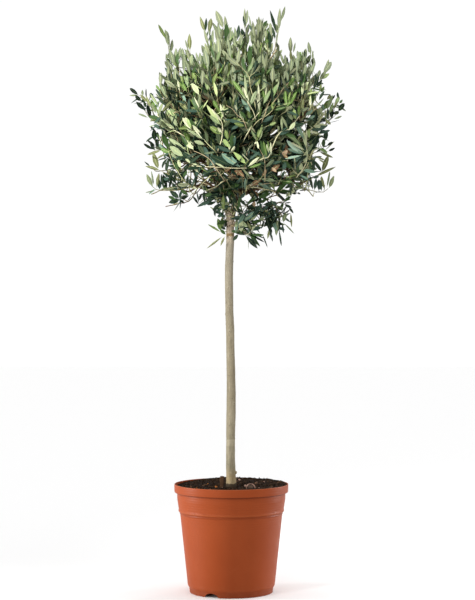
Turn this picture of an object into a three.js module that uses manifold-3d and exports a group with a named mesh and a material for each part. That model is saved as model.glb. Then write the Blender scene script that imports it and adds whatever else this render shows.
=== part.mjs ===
// Olive tree grown as a ball-headed standard in a terracotta-coloured plastic nursery pot.
// Millimetres, +Z up. The origin is the middle of the pot's underside, so the ground is z = 0.
// Azimuths are counted from +X towards +Y; the front of the tree is -Y.

import * as THREE from 'three';
import { mergeVertices } from 'three/addons/utils/BufferGeometryUtils.js';
import Module from 'manifold-3d';

const wasm = await Module();
wasm.setup();

// ---------------------------------------------------------------- driving dimensions

const GAP = 0.35;                 // clearance kept between touching pieces

// pot
const POT_SEGMENTS = 36;
const RIM_R = 120;                // outer radius of the rim band, a 24 cm pot
const RIM_TOP = 227;
const RIM_BAND = 17;              // height of the rim band
const COLLAR_TOP_R = 114.7;       // collar under the rim
const COLLAR_FOOT_R = 110.6;
const COLLAR_FOOT_Z = 170;
const BODY_TOP_R = 107.6;         // tapered body under the collar's step
const BODY_FOOT_R = 91.6;
const BODY_FOOT_Z = 15;
const FOOT_R = 88;
const FOOT_RING = 3;              // thickness of the foot ring
const WALL = 2;
const FLOOR_UNDER = 10;           // height of the floor's underside between foot ring and central pad
const FLOOR = 2.5;
const PAD_R = 32;                 // flat central pad that reaches the ground
const DRAIN_HOLES = 8;
const DRAIN_R = 7;
const DRAIN_PITCH_R = 60;
const NOTCHES = 3;                // arched drainage notches in the foot ring
const NOTCH_AZ = 242;             // azimuth of the one at the front left
const NOTCH_HALF = 15.5;
const NOTCH_HEIGHT = 9;

// potting soil
const SOIL_EDGE_Z = 220;
const SOIL_FOOT_Z = 218;          // level where the trunk comes out
const SOIL_COLLAR_R = 17;         // flat collar of soil round the trunk

// trunk: radius at height, and how far its middle wanders from the pot's axis
const TRUNK_SIDES = 12;
const TRUNK_RINGS = 27;
const FORK_Z = 795;
const TRUNK_R = [[218, 12.6], [223, 11.4], [230, 10.7], [243, 10.2], [283, 9.4], [361, 9.7], [508, 8.8], [620, 8.5], [770, 8.5], [788, 8.9], [795, 8.2]];
const TRUNK_X = [[218, -0.2], [297, -1.7], [403, -0.2], [533, -1.9], [597, -4.2], [672, -4.8], [748, -2.3], [795, -2.0]];
const TRUNK_Y = [[218, 0], [360, 2.2], [520, -1.8], [680, 1.2], [795, 0]];

// boughs
const BOUGH_SIDES = 7;
const BOUGH_RINGS = 6;
const BOUGH_R = [4.6, 2.2];       // radius at the fork and at the far end

// crown: its middle, and tiers of foliage masses round it
const CROWN = new THREE.Vector3(14, 0, 985);
const MASS_DETAIL = 2;
const TIP_SPREAD = 0.2;           // angular half-width of a projecting spray, radians
const ROUGHNESS = 0.13;           // unevenness of a mass as a share of its radius
const TIERS = [
  { tier: 'upper', z: 1080, ring: 104, radial: 70, around: 88, up: 66, at: { right: 0, back: 88, left: 180, front: 272 } },
  { tier: 'middle', z: 982, ring: 124, radial: 64, around: 76, up: 60, at: { right: 0, back_right: 60, back_left: 120, left: 180, front_left: 240, front_right: 300 } },
  { tier: 'lower', z: 878, ring: 112, radial: 58, around: 78, up: 48, at: { right: 0, back: 92, left: 180, front_left: 238, front_right: 304 } },
];
const SINGLES = [
  { name: 'foliage_crest', c: [18, 0, 1130], r: [84, 78, 66] },
  { name: 'foliage_heart', c: [14, 0, 1020], r: [60, 60, 84] },
  { name: 'foliage_skirt_right', c: [74, -16, 800], r: [54, 50, 38] },
  { name: 'foliage_sprig_left', c: [-25, -8, 762], r: [16, 15, 21] },
];
// furthest sprays of the crown seen from the front, as x and z, each given to the nearest mass
const REACH_XZ = [
  [-68, 1207], [-34, 1224], [25, 1220], [56, 1203], [92, 1207], [111, 1228],
  [-154, 1190], [-90, 1156], [-142, 1148], [126, 1161], [166, 1150], [210, 1114],
  [-211, 1055], [-196, 1028], [237, 1036], [-177, 940], [-180, 896], [-173, 855], [-124, 814],
  [-56, 796], [212, 946], [220, 896], [212, 866], [48, 724], [74, 728], [108, 736], [123, 746],
  [-36, 720], [-50, 786],
];
// furthest sprays towards the front and the back, as azimuth, distance from the crown's axis and z
const REACH_ROUND = [
  [262, 214, 1040], [285, 205, 1085], [240, 208, 990], [300, 212, 1000], [270, 200, 905], [225, 196, 872], [315, 200, 868],
  [82, 212, 1036], [105, 206, 1082], [60, 210, 1002], [122, 206, 985], [90, 202, 902], [48, 198, 870], [135, 200, 876],
  [330, 214, 1060], [210, 205, 1070], [30, 214, 1050], [150, 208, 1066], [75, 120, 1180], [290, 110, 1186],
];

// ---------------------------------------------------------------- helpers

function interpolate(table, v) {
  if (v <= table[0][0]) return table[0][1];
  for (let i = 1; i < table.length; i++) {
    const [a, fa] = table[i - 1];
    const [b, fb] = table[i];
    if (v <= b) {
      const s = (v - a) / (b - a);
      return fa + (fb - fa) * (s * s * (3 - 2 * s));
    }
  }
  return table[table.length - 1][1];
}

function seeded(seed) {
  let a = seed >>> 0;
  return () => {
    a = (a + 0x6d2b79f5) >>> 0;
    let t = a;
    t = Math.imul(t ^ (t >>> 15), t | 1);
    t ^= t + Math.imul(t ^ (t >>> 7), t | 61);
    return ((t ^ (t >>> 14)) >>> 0) / 4294967296;
  };
}

function toSolid(geometry) {
  const bare = geometry.clone();
  bare.deleteAttribute('normal');
  bare.deleteAttribute('uv');
  const merged = mergeVertices(bare, 1e-3);
  return new wasm.Manifold(new wasm.Mesh({
    numProp: 3,
    vertProperties: new Float32Array(merged.attributes.position.array),
    triVerts: new Uint32Array(merged.index.array),
  }));
}

function toGeometry(solid) {
  const mesh = solid.getMesh();
  const geometry = new THREE.BufferGeometry();
  geometry.setAttribute('position', new THREE.BufferAttribute(new Float32Array(mesh.vertProperties), 3));
  geometry.setIndex(new THREE.BufferAttribute(new Uint32Array(mesh.triVerts), 1));
  geometry.computeVertexNormals();
  return geometry;
}

// the largest piece of a cut solid, or the one that holds the lowest point
function onePiece(solid, lowest) {
  const pieces = solid.decompose();
  let best = pieces[0];
  for (const p of pieces) {
    if (lowest ? p.boundingBox().min[2] < best.boundingBox().min[2] : p.volume() > best.volume()) best = p;
  }
  return best;
}

// a round body whose profile is [radius, height] pairs, closed on the axis
function turned(profile) {
  return new THREE.LatheGeometry(profile.map(([r, z]) => new THREE.Vector2(r, z)), POT_SEGMENTS).rotateX(Math.PI / 2);
}

// a tapering limb along a curve, with flat ends
function limb(curve, r0, r1, sides, rings, grow) {
  const geometry = new THREE.CylinderGeometry(1, 1, 1, sides, rings);
  const frames = curve.computeFrenetFrames(rings, false);
  const p = geometry.attributes.position;
  const v = new THREE.Vector3();
  for (let i = 0; i < p.count; i++) {
    v.fromBufferAttribute(p, i);
    const u = THREE.MathUtils.clamp(v.y + 0.5, 0, 1);
    const k = Math.round(u * rings);
    const r = r0 + (r1 - r0) * u + grow;
    const at = curve.getPointAt(u);
    at.addScaledVector(frames.tangents[k], (u === 0 ? -grow : 0) + (u === 1 ? grow : 0));
    at.addScaledVector(frames.binormals[k], v.x * r).addScaledVector(frames.normals[k], v.z * r);
    p.setXYZ(i, at.x, at.y, at.z);
  }
  return geometry;
}

// ---------------------------------------------------------------- pot

const rimFoot = RIM_TOP - RIM_BAND;
const potOuter = [
  [0, 0], [PAD_R, 0], [PAD_R, FLOOR_UNDER], [FOOT_R - FOOT_RING, FLOOR_UNDER], [FOOT_R - FOOT_RING, 0], [FOOT_R - 0.6, 0],
  [FOOT_R + 0.6, 10.5], [BODY_FOOT_R, BODY_FOOT_Z], [BODY_TOP_R, COLLAR_FOOT_Z - 4],
  [COLLAR_FOOT_R, COLLAR_FOOT_Z], [COLLAR_TOP_R, rimFoot - 2], [RIM_R - 0.4, rimFoot],
  [RIM_R, RIM_TOP - 1.2], [RIM_R - 0.8, RIM_TOP],
];
const potInner = [
  [RIM_R - WALL, RIM_TOP], [RIM_R - WALL, rimFoot + 3], [COLLAR_TOP_R - WALL, rimFoot], [COLLAR_FOOT_R - WALL, COLLAR_FOOT_Z + 3],
  [BODY_TOP_R - WALL, COLLAR_FOOT_Z - 3], [BODY_FOOT_R - WALL, BODY_FOOT_Z + 1], [BODY_FOOT_R - WALL - 2, FLOOR_UNDER + FLOOR],
  [PAD_R - WALL, FLOOR_UNDER + FLOOR], [PAD_R - WALL, FLOOR], [0, FLOOR],
];
let pot = toSolid(turned([...potOuter, ...potInner]));
for (let i = 0; i < DRAIN_HOLES; i++) {
  const a = (i + 0.5) / DRAIN_HOLES * 2 * Math.PI;
  const drill = new THREE.CylinderGeometry(DRAIN_R, DRAIN_R, 3 * FLOOR, 12).rotateX(Math.PI / 2);
  drill.translate(DRAIN_PITCH_R * Math.cos(a), DRAIN_PITCH_R * Math.sin(a), FLOOR_UNDER + FLOOR / 2);
  pot = pot.subtract(toSolid(drill));
}
for (let i = 0; i < NOTCHES; i++) {
  const arch = new THREE.CylinderGeometry(1, 1, 12, 24).rotateZ(Math.PI / 2).scale(1, NOTCH_HALF, NOTCH_HEIGHT);
  arch.translate(FOOT_R, 0, 0).rotateZ(THREE.MathUtils.degToRad(NOTCH_AZ + i * 360 / NOTCHES));
  pot = pot.subtract(toSolid(arch));
}

// ---------------------------------------------------------------- soil

const inside = (r) => r - WALL - GAP - 0.15;
const soilProfile = [
  [0, FLOOR_UNDER + FLOOR + GAP], [inside(BODY_FOOT_R) - 2.4, FLOOR_UNDER + FLOOR + GAP], [inside(BODY_FOOT_R), BODY_FOOT_Z + 1.6],
  [inside(BODY_TOP_R), COLLAR_FOOT_Z - 3], [inside(COLLAR_FOOT_R), COLLAR_FOOT_Z + 3.6], [inside(COLLAR_TOP_R), rimFoot + 0.4],
  [inside(RIM_R), rimFoot + 3.8], [inside(RIM_R), SOIL_EDGE_Z], [84, SOIL_EDGE_Z + 0.7], [44, SOIL_FOOT_Z + 1.2], [SOIL_COLLAR_R, SOIL_FOOT_Z], [0, SOIL_FOOT_Z],
];
const soil = toSolid(turned(soilProfile));

// ---------------------------------------------------------------- trunk

function trunkShape(grow) {
  const geometry = new THREE.CylinderGeometry(1, 1, 1, TRUNK_SIDES, TRUNK_RINGS);
  const p = geometry.attributes.position;
  const z0 = SOIL_FOOT_Z + GAP;
  for (let i = 0; i < p.count; i++) {
    const u = THREE.MathUtils.clamp(p.getY(i) + 0.5, 0, 1);
    let z = z0 + (FORK_Z - z0) * u;
    const r = interpolate(TRUNK_R, z) + grow;
    const x = interpolate(TRUNK_X, z) + p.getX(i) * r;
    const y = interpolate(TRUNK_Y, z) - p.getZ(i) * r;
    if (u === 1) z += grow;
    p.setXYZ(i, x, y, z);
  }
  return toSolid(geometry);
}
const trunk = trunkShape(0);
const trunkGrown = trunkShape(GAP);

// ---------------------------------------------------------------- foliage masses

class Mass {
  constructor(name, c, r, turn, seed) {
    this.name = name;
    this.c = new THREE.Vector3(...c);
    this.r = r;
    this.turn = turn;
    this.tips = [];
    const random = seeded(seed);
    this.waves = Array.from({ length: 7 }, () => ({
      k: new THREE.Vector3(random() - 0.5, random() - 0.5, random() - 0.5).normalize().multiplyScalar(2.2 + 3.2 * random()),
      phase: 2 * Math.PI * random(),
    }));
  }

  // distance from the middle to the surface in a direction, before the projecting sprays
  base(d) {
    const c = Math.cos(-this.turn);
    const s = Math.sin(-this.turn);
    const l = [c * d.x - s * d.y, s * d.x + c * d.y, d.z];
    const r = 1 / Math.hypot(l[0] / this.r[0], l[1] / this.r[1], l[2] / this.r[2]);
    let n = 0;
    for (const w of this.waves) n += Math.sin(w.k.dot(d) + w.phase);
    return r * (1 + ROUGHNESS * n / Math.sqrt(this.waves.length));
  }

  reach(point) {
    const d = point.clone().sub(this.c);
    this.tips.push({ d: d.clone().normalize(), r: d.length() });
  }

  shape(grow) {
    const bare = new THREE.IcosahedronGeometry(1, Math.min(this.r[0], this.r[2]) < 25 ? 1 : MASS_DETAIL);
    bare.deleteAttribute('normal');
    bare.deleteAttribute('uv');
    const geometry = mergeVertices(bare, 1e-4);
    const p = geometry.attributes.position;
    const dirs = [];
    for (let i = 0; i < p.count; i++) dirs.push(new THREE.Vector3().fromBufferAttribute(p, i).normalize());
    for (const tip of this.tips) {
      let near = 0;
      for (let i = 1; i < dirs.length; i++) if (dirs[i].dot(tip.d) > dirs[near].dot(tip.d)) near = i;
      dirs[near].copy(tip.d);
    }
    dirs.forEach((d, i) => {
      const base = this.base(d);
      let more = 0;
      for (const tip of this.tips) {
        const angle = Math.acos(THREE.MathUtils.clamp(d.dot(tip.d), -1, 1));
        more = Math.max(more, (tip.r - this.base(tip.d)) * Math.exp(-0.5 * (angle / TIP_SPREAD) ** 2));
      }
      const v = d.clone().multiplyScalar(base + more + grow).add(this.c);
      p.setXYZ(i, v.x, v.y, v.z);
    });
    return toSolid(geometry);
  }
}

const masses = [];
let seed = 11;
for (const s of SINGLES) masses.push(new Mass(s.name, s.c, s.r, 0, seed++));
for (const t of TIERS) {
  for (const [where, degrees] of Object.entries(t.at)) {
    const a = THREE.MathUtils.degToRad(degrees);
    const random = seeded(seed * 7);
    const ring = t.ring * (0.96 + 0.08 * random());
    const z = t.z + 14 * (random() - 0.5);
    masses.push(new Mass(`foliage_${t.tier}_${where}`, [CROWN.x + ring * Math.cos(a), CROWN.y + ring * Math.sin(a), z], [t.radial, t.around, t.up], a, seed++));
  }
}

function giveTo(point) {
  let best = null;
  let least = Infinity;
  for (const m of masses) {
    if (m.name === 'foliage_heart') continue;
    const d = point.clone().sub(m.c);
    const far = d.length() / m.base(d.clone().normalize());
    if (far < least) {
      least = far;
      best = m;
    }
  }
  if (least > 1.02) best.reach(point);
}
for (const [x, z] of REACH_XZ) giveTo(new THREE.Vector3(x, z < 800 && x > -80 ? -20 : 0, z));
for (const [az, far, z] of REACH_ROUND) {
  const a = THREE.MathUtils.degToRad(az);
  giveTo(new THREE.Vector3(CROWN.x + far * Math.cos(a), CROWN.y + far * Math.sin(a), z));
}

const cut = new Map();
const grown = [];
for (const m of masses) {
  let solid = m.shape(0).subtract(trunkGrown);
  for (const g of grown) solid = solid.subtract(g);
  cut.set(m.name, onePiece(solid, false));
  grown.push(m.shape(1.2));
}

// ---------------------------------------------------------------- boughs

// each leaves the fork's top, or the trunk's side a little below it, and runs to a mass:
// name, azimuth, drop below the fork, rise before it turns out, mass, thickness against BOUGH_R
const fork = new THREE.Vector3(interpolate(TRUNK_X, FORK_Z), interpolate(TRUNK_Y, FORK_Z), FORK_Z);
const BOUGHS = [
  ['bough_leader', 60, 0, 62, 'foliage_heart', 0.96],
  ['bough_right', 350, 0, 44, 'foliage_middle_right', 0.92],
  ['bough_left', 182, 0, 46, 'foliage_middle_left', 0.88],
  ['bough_front_left', 232, 0, 40, 'foliage_middle_front_left', 0.74],
  ['bough_front_right', 304, 0, 38, 'foliage_middle_front_right', 0.76],
  ['bough_back_left', 122, 13, 52, 'foliage_middle_back_left', 0.78],
  ['bough_back_right', 58, 27, 66, 'foliage_middle_back_right', 0.8],
];
const boughs = [];
const blockers = [trunkGrown];
{
  // the short snag left at the front of the fork where a shoot was cut back
  const from = new THREE.Vector3(fork.x - 1.5, fork.y - 5.6, FORK_Z + GAP);
  const curve = new THREE.QuadraticBezierCurve3(from, from.clone().add(new THREE.Vector3(-0.4, 0, 6)), from.clone().add(new THREE.Vector3(-2.2, -0.6, 13)));
  const sweep = (grow) => toSolid(limb(curve, 2.1, 1.2, BOUGH_SIDES, 3, grow));
  boughs.push(['pruned_stub', onePiece(sweep(0).subtract(trunkGrown), false)]);
  blockers.push(sweep(GAP));
}
for (const [name, az, drop, rise, target, size] of BOUGHS) {
  const a = THREE.MathUtils.degToRad(az);
  const out = new THREE.Vector3(Math.cos(a), Math.sin(a), 0);
  const end = masses.find((m) => m.name === target).c;
  const start = fork.clone().addScaledVector(out, 4.2).add(new THREE.Vector3(0, 0, -3 - drop));
  const knee = fork.clone().addScaledVector(out, 9 + rise * 0.32).add(new THREE.Vector3(0, 0, rise - drop));
  const mid = knee.clone().lerp(end, 0.45).add(new THREE.Vector3(0, 0, 10));
  const curve = new THREE.CatmullRomCurve3([start, knee, mid, end]);
  const sweep = (grow) => toSolid(limb(curve, BOUGH_R[0] * size, BOUGH_R[1] * size, BOUGH_SIDES, BOUGH_RINGS, grow));
  let solid = sweep(0);
  for (const b of blockers) solid = solid.subtract(b);
  for (const g of grown) solid = solid.subtract(g);
  boughs.push([name, onePiece(solid, true)]);
  blockers.push(sweep(GAP));
}

// a low branch that leaves the trunk's right side under the fork and carries the skirt
{
  const from = new THREE.Vector3(fork.x + 7.5, -3, FORK_Z - 22);
  const curve = new THREE.QuadraticBezierCurve3(from, new THREE.Vector3(fork.x + 26, -10, FORK_Z + 4), masses.find((m) => m.name === 'foliage_skirt_right').c);
  let solid = toSolid(limb(curve, 2.6, 1.5, BOUGH_SIDES, 6, 0));
  for (const b of blockers) solid = solid.subtract(b);
  for (const g of grown) solid = solid.subtract(g);
  boughs.push(['bough_low_right', onePiece(solid, false)]);
}

// ---------------------------------------------------------------- assembly

const look = {
  pot: { color: 0xa8562f, roughness: 0.45, metalness: 0 },
  soil: { color: 0x2b1e16, roughness: 0.95, metalness: 0 },
  bark: { color: 0xa79c83, roughness: 0.85, metalness: 0 },
  bough: { color: 0x8f7657, roughness: 0.85, metalness: 0 },
  foliage: { color: 0x6f8263, roughness: 0.7, metalness: 0 },
};

const group = new THREE.Group();
function add(name, solid, finish) {
  const mesh = new THREE.Mesh(toGeometry(solid), new THREE.MeshStandardMaterial(look[finish]));
  mesh.name = name;
  group.add(mesh);
}
add('pot', pot, 'pot');
add('soil', soil, 'soil');
add('trunk', trunk, 'bark');
for (const [name, solid] of boughs) add(name, solid, 'bough');
for (const [name, solid] of cut) add(name, solid, 'foliage');

export default group;
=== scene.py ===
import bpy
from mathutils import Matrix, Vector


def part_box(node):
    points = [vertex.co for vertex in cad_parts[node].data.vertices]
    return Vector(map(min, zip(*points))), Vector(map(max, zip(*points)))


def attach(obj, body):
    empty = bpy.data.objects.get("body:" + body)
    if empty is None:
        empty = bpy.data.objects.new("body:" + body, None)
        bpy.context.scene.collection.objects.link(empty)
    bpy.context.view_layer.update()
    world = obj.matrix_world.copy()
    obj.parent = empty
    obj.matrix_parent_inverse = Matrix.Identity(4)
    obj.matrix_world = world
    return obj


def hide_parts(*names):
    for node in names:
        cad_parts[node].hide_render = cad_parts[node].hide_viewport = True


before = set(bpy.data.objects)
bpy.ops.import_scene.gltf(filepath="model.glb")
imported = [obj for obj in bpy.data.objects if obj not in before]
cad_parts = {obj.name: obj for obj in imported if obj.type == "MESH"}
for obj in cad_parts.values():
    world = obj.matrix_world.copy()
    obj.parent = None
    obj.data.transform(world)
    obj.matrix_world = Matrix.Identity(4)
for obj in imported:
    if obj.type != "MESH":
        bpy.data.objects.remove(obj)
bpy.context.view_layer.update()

import math

import bmesh
import bpy
import numpy as np
from mathutils import Vector

# A small olive tree grown as a ball-headed standard in a plastic nursery pot.
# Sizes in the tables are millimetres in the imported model's frame; meshes are in metres.
# x runs to the right seen from the front, -y towards the front, z up from the ground.

MM = 0.001
SEED = 20711
scene = bpy.context.scene

# ------------------------------------------------------------------ camera

cam_data = bpy.data.cameras.new("camera")
cam_data.lens = 101.2
cam_data.sensor_width = 36
cam_data.clip_end = 60
camera = bpy.data.objects.new("camera", cam_data)
camera.location = (0.01305, -3.55, 0.6134)
camera.rotation_euler = (math.radians(90), 0, 0)
scene.collection.objects.link(camera)
scene.camera = camera

# ------------------------------------------------------------------ helpers: noise, curves, meshes


def lattice(ix, iy, iz, seed):
    """A repeatable value in -1..1 for each whole-number place."""
    h = (ix.astype(np.int64) * 374761393 + iy.astype(np.int64) * 668265263 + iz.astype(np.int64) * 2147483647 + seed * 1442695041) & 0xFFFFFFFF
    h = ((h ^ (h >> 13)) * 1274126177) & 0xFFFFFFFF
    h = ((h ^ (h >> 16)) * 2246822519) & 0xFFFFFFFF
    h = h ^ (h >> 15)
    return h.astype(float) / 2147483648.0 - 1.0


def noise(p, seed=0):
    """Smooth noise in -1..1 at points p (n, 3)."""
    base = np.floor(p)
    f = p - base
    f = f * f * f * (f * (f * 6 - 15) + 10)
    i = base.astype(np.int64)
    out = 0.0
    for dx in (0, 1):
        wx = f[:, 0] if dx else 1 - f[:, 0]
        for dy in (0, 1):
            wy = f[:, 1] if dy else 1 - f[:, 1]
            for dz in (0, 1):
                wz = f[:, 2] if dz else 1 - f[:, 2]
                out = out + wx * wy * wz * lattice(i[:, 0] + dx, i[:, 1] + dy, i[:, 2] + dz, seed)
    return out


def fractal(p, octaves, seed=0, gain=0.5):
    total, amp, norm = 0.0, 1.0, 0.0
    for k in range(octaves):
        total = total + amp * noise(p * (2.03 ** k) + 17.3 * k, seed + k)
        norm += amp
        amp *= gain
    return total / norm


def table(rows, v):
    """Smooth interpolation in a table of (place, value)."""
    v = np.asarray(v, float)
    xs, ys = np.array([r[0] for r in rows], float), np.array([r[1] for r in rows], float)
    k = np.clip(np.searchsorted(xs, v) - 1, 0, len(xs) - 2)
    s = np.clip((v - xs[k]) / (xs[k + 1] - xs[k]), 0, 1)
    s = s * s * (3 - 2 * s)
    return ys[k] + (ys[k + 1] - ys[k]) * s


def unit(v):
    v = np.asarray(v, float)
    return v / np.maximum(np.linalg.norm(v, axis=-1, keepdims=True), 1e-12)


def catmull(points, n):
    """n points on a centripetal Catmull-Rom curve through the given points, evenly spaced along it."""
    pts = [np.array(p, float) for p in points]
    pts = [2 * pts[0] - pts[1]] + pts + [2 * pts[-1] - pts[-2]]
    dense = []
    for k in range(1, len(pts) - 2):
        p0, p1, p2, p3 = pts[k - 1 : k + 3]
        d0, d1, d2 = (max(np.linalg.norm(b - a) ** 0.5, 1e-4) for a, b in ((p0, p1), (p1, p2), (p2, p3)))
        t1 = ((p1 - p0) / d0 - (p2 - p0) / (d0 + d1) + (p2 - p1) / d1) * d1
        t2 = ((p2 - p1) / d1 - (p3 - p1) / (d1 + d2) + (p3 - p2) / d2) * d1
        for t in np.linspace(0, 1, 24, endpoint=False):
            dense.append(p1 * (2 * t**3 - 3 * t**2 + 1) + t1 * (t**3 - 2 * t**2 + t) + p2 * (3 * t**2 - 2 * t**3) + t2 * (t**3 - t**2))
    dense.append(pts[-2])
    return even(np.array(dense), n)


def even(line, n):
    along = np.concatenate([[0], np.cumsum(np.linalg.norm(np.diff(line, axis=0), axis=1))])
    at = np.linspace(0, along[-1], n)
    return np.stack([np.interp(at, along, line[:, k]) for k in range(3)], axis=1)


def tangents(line):
    t = np.zeros_like(line)
    t[1:-1] = line[2:] - line[:-2]
    t[0], t[-1] = line[1] - line[0], line[-1] - line[-2]
    return unit(t)


def tube(line, radii, sides, cap=True, phase=0.0):
    """Vertices and faces (quads, then cap triangles as degenerate-free tuples) of a round limb along a line."""
    line = np.asarray(line, float)
    t = tangents(line)
    ref = np.array([0, 0, 1.0]) if abs(t[0][2]) < 0.9 else np.array([1.0, 0, 0])
    n = unit(np.cross(t[0], ref))
    frames = []
    for k in range(len(line)):
        n = unit(n - t[k] * np.dot(n, t[k]))
        frames.append((n, np.cross(t[k], n)))
    a = np.arange(sides) * 2 * math.pi / sides + phase
    ring = np.stack([np.cos(a), np.sin(a)], axis=1)
    verts = np.concatenate([line[k] + radii[k] * (ring[:, :1] * frames[k][0] + ring[:, 1:] * frames[k][1]) for k in range(len(line))])
    i = np.arange(sides)
    j = (i + 1) % sides
    quads = np.concatenate([np.stack([k * sides + i, k * sides + j, (k + 1) * sides + j, (k + 1) * sides + i], axis=1) for k in range(len(line) - 1)])
    tris = np.zeros((0, 3), int)
    if cap:
        n0 = len(verts)
        tip = line[-1] + t[-1] * radii[-1] * 0.8
        foot = line[0] - t[0] * radii[0] * 0.3
        verts = np.concatenate([verts, [foot, tip]])
        last = (len(line) - 1) * sides
        tris = np.concatenate([np.stack([j, i, np.full(sides, n0)], axis=1), np.stack([last + i, last + j, np.full(sides, n0 + 1)], axis=1)])
    return verts, quads, tris


class Builder:
    """Gathers vertices and faces with a material number each, and makes one mesh object of them."""

    def __init__(self):
        self.v, self.loops, self.sizes, self.mats, self.n = [], [], [], [], 0

    def add(self, verts, faces, mats):
        """faces is (n, 3) or (n, 4); mats one number, or one a face."""
        if len(faces) == 0:
            return
        self.loops.append((np.asarray(faces) + self.n).reshape(-1))
        self.sizes.append(np.full(len(faces), faces.shape[1]))
        self.mats.append(np.broadcast_to(np.asarray(mats), (len(faces),)).copy())
        if verts is not None:
            self.v.append(verts)

    def tube(self, line, radii, sides, mat, cap=True, phase=0.0):
        verts, quads, tris = tube(line, radii, sides, cap, phase)
        self.add(None, quads, mat)
        self.add(None, tris, mat)
        self.v.append(verts)
        self.n += len(verts)

    def block(self, verts, faces_list, mats_list):
        for faces, mats in zip(faces_list, mats_list):
            self.add(None, faces, mats)
        self.v.append(verts)
        self.n += len(verts)

    def build(self, name, materials, scale=MM):
        verts = np.concatenate(self.v) * scale
        loops = np.concatenate(self.loops).astype(np.int32)
        sizes = np.concatenate(self.sizes).astype(np.int32)
        mats = np.concatenate(self.mats).astype(np.int32)
        return mesh_object(name, verts, loops, sizes, mats, materials)


def mesh_object(name, verts, loops, sizes, mats, materials, smooth=True):
    mesh = bpy.data.meshes.new(name)
    mesh.vertices.add(len(verts))
    mesh.vertices.foreach_set("co", np.asarray(verts, np.float32).reshape(-1))
    mesh.loops.add(len(loops))
    mesh.loops.foreach_set("vertex_index", loops)
    mesh.polygons.add(len(sizes))
    mesh.polygons.foreach_set("loop_start", np.concatenate([[0], np.cumsum(sizes)[:-1]]).astype(np.int32))
    for m in materials:
        mesh.materials.append(m)
    mesh.polygons.foreach_set("material_index", mats)
    mesh.polygons.foreach_set("use_smooth", np.full(len(sizes), smooth))
    mesh.update(calc_edges=True)
    mesh.validate()
    obj = bpy.data.objects.new(name, mesh)
    scene.collection.objects.link(obj)
    return obj


# ------------------------------------------------------------------ materials


def plain(name, color, rough, specular=0.4, sheen=0.0, coat=0.0):
    m = bpy.data.materials.new(name)
    m.use_nodes = True
    b = m.node_tree.nodes["Principled BSDF"]
    b.inputs["Base Color"].default_value = (*color, 1)
    b.inputs["Roughness"].default_value = rough
    b.inputs["Specular IOR Level"].default_value = specular
    b.inputs["Sheen Weight"].default_value = sheen
    b.inputs["Coat Weight"].default_value = coat
    return m


class Nodes:
    """A short way to wire a procedural material."""

    def __init__(self, name):
        self.m = bpy.data.materials.new(name)
        self.m.use_nodes = True
        self.t = self.m.node_tree
        self.b = self.t.nodes["Principled BSDF"]
        self.at = self.t.nodes.new("ShaderNodeTexCoord").outputs["Object"]

    def node(self, kind, inputs=None, **settings):
        n = self.t.nodes.new(kind)
        for k, v in settings.items():
            setattr(n, k, v)
        for k, v in (inputs or {}).items():
            self.put(n.inputs[k], v)
        return n

    def put(self, socket, v):
        if isinstance(v, bpy.types.NodeSocket):
            self.t.links.new(v, socket)
        else:
            socket.default_value = v

    def stretched(self, sx, sy, sz, shift=(0, 0, 0)):
        return self.node("ShaderNodeMapping", {"Vector": self.at, "Scale": (sx, sy, sz), "Location": shift}).outputs[0]

    def noise(self, scale, detail=4, rough=0.55, vector=None, distortion=0.0):
        return self.node("ShaderNodeTexNoise", {"Vector": vector or self.at, "Scale": scale, "Detail": detail, "Roughness": rough, "Distortion": distortion}).outputs["Fac"]

    def voronoi(self, scale, vector=None, feature="F1"):
        return self.node("ShaderNodeTexVoronoi", {"Vector": vector or self.at, "Scale": scale}, feature=feature).outputs["Distance"]

    def ramp(self, fac, stops):
        n = self.node("ShaderNodeValToRGB", {"Fac": fac})
        e = n.color_ramp.elements
        while len(e) < len(stops):
            e.new(0.5)
        for el, (pos, col) in zip(e, stops):
            el.position = pos
            el.color = (*col, 1) if isinstance(col, tuple) else (col, col, col, 1)
        return n.outputs["Color"]

    def mix(self, fac, a, b, blend="MIX"):
        n = self.node("ShaderNodeMix", data_type="RGBA", blend_type=blend)
        self.put(n.inputs[0], fac)
        for k, v in ((6, a), (7, b)):
            self.put(n.inputs[k], (*v, 1) if isinstance(v, tuple) and len(v) == 3 else v)
        return n.outputs[2]

    def math(self, op, a, b=0.0, clamp=False):
        n = self.node("ShaderNodeMath", operation=op, use_clamp=clamp)
        self.put(n.inputs[0], a)
        self.put(n.inputs[1], b)
        return n.outputs[0]

    def range(self, v, lo, hi, to_lo=0.0, to_hi=1.0):
        return self.node("ShaderNodeMapRange", {"Value": v, "From Min": lo, "From Max": hi, "To Min": to_lo, "To Max": to_hi}).outputs[0]

    def height(self):
        return self.node("ShaderNodeSeparateXYZ", {"Vector": self.at}).outputs["Z"]

    def bump(self, height, strength, distance, normal=None):
        n = self.node("ShaderNodeBump", {"Height": height, "Strength": strength, "Distance": distance})
        if normal is not None:
            self.put(n.inputs["Normal"], normal)
        return n.outputs["Normal"]

    def done(self, color, rough, normal=None, specular=0.5):
        self.put(self.b.inputs["Base Color"], color)
        self.put(self.b.inputs["Roughness"], rough)
        if normal is not None:
            self.put(self.b.inputs["Normal"], normal)
        self.b.inputs["Specular IOR Level"].default_value = specular
        return self.m


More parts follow.
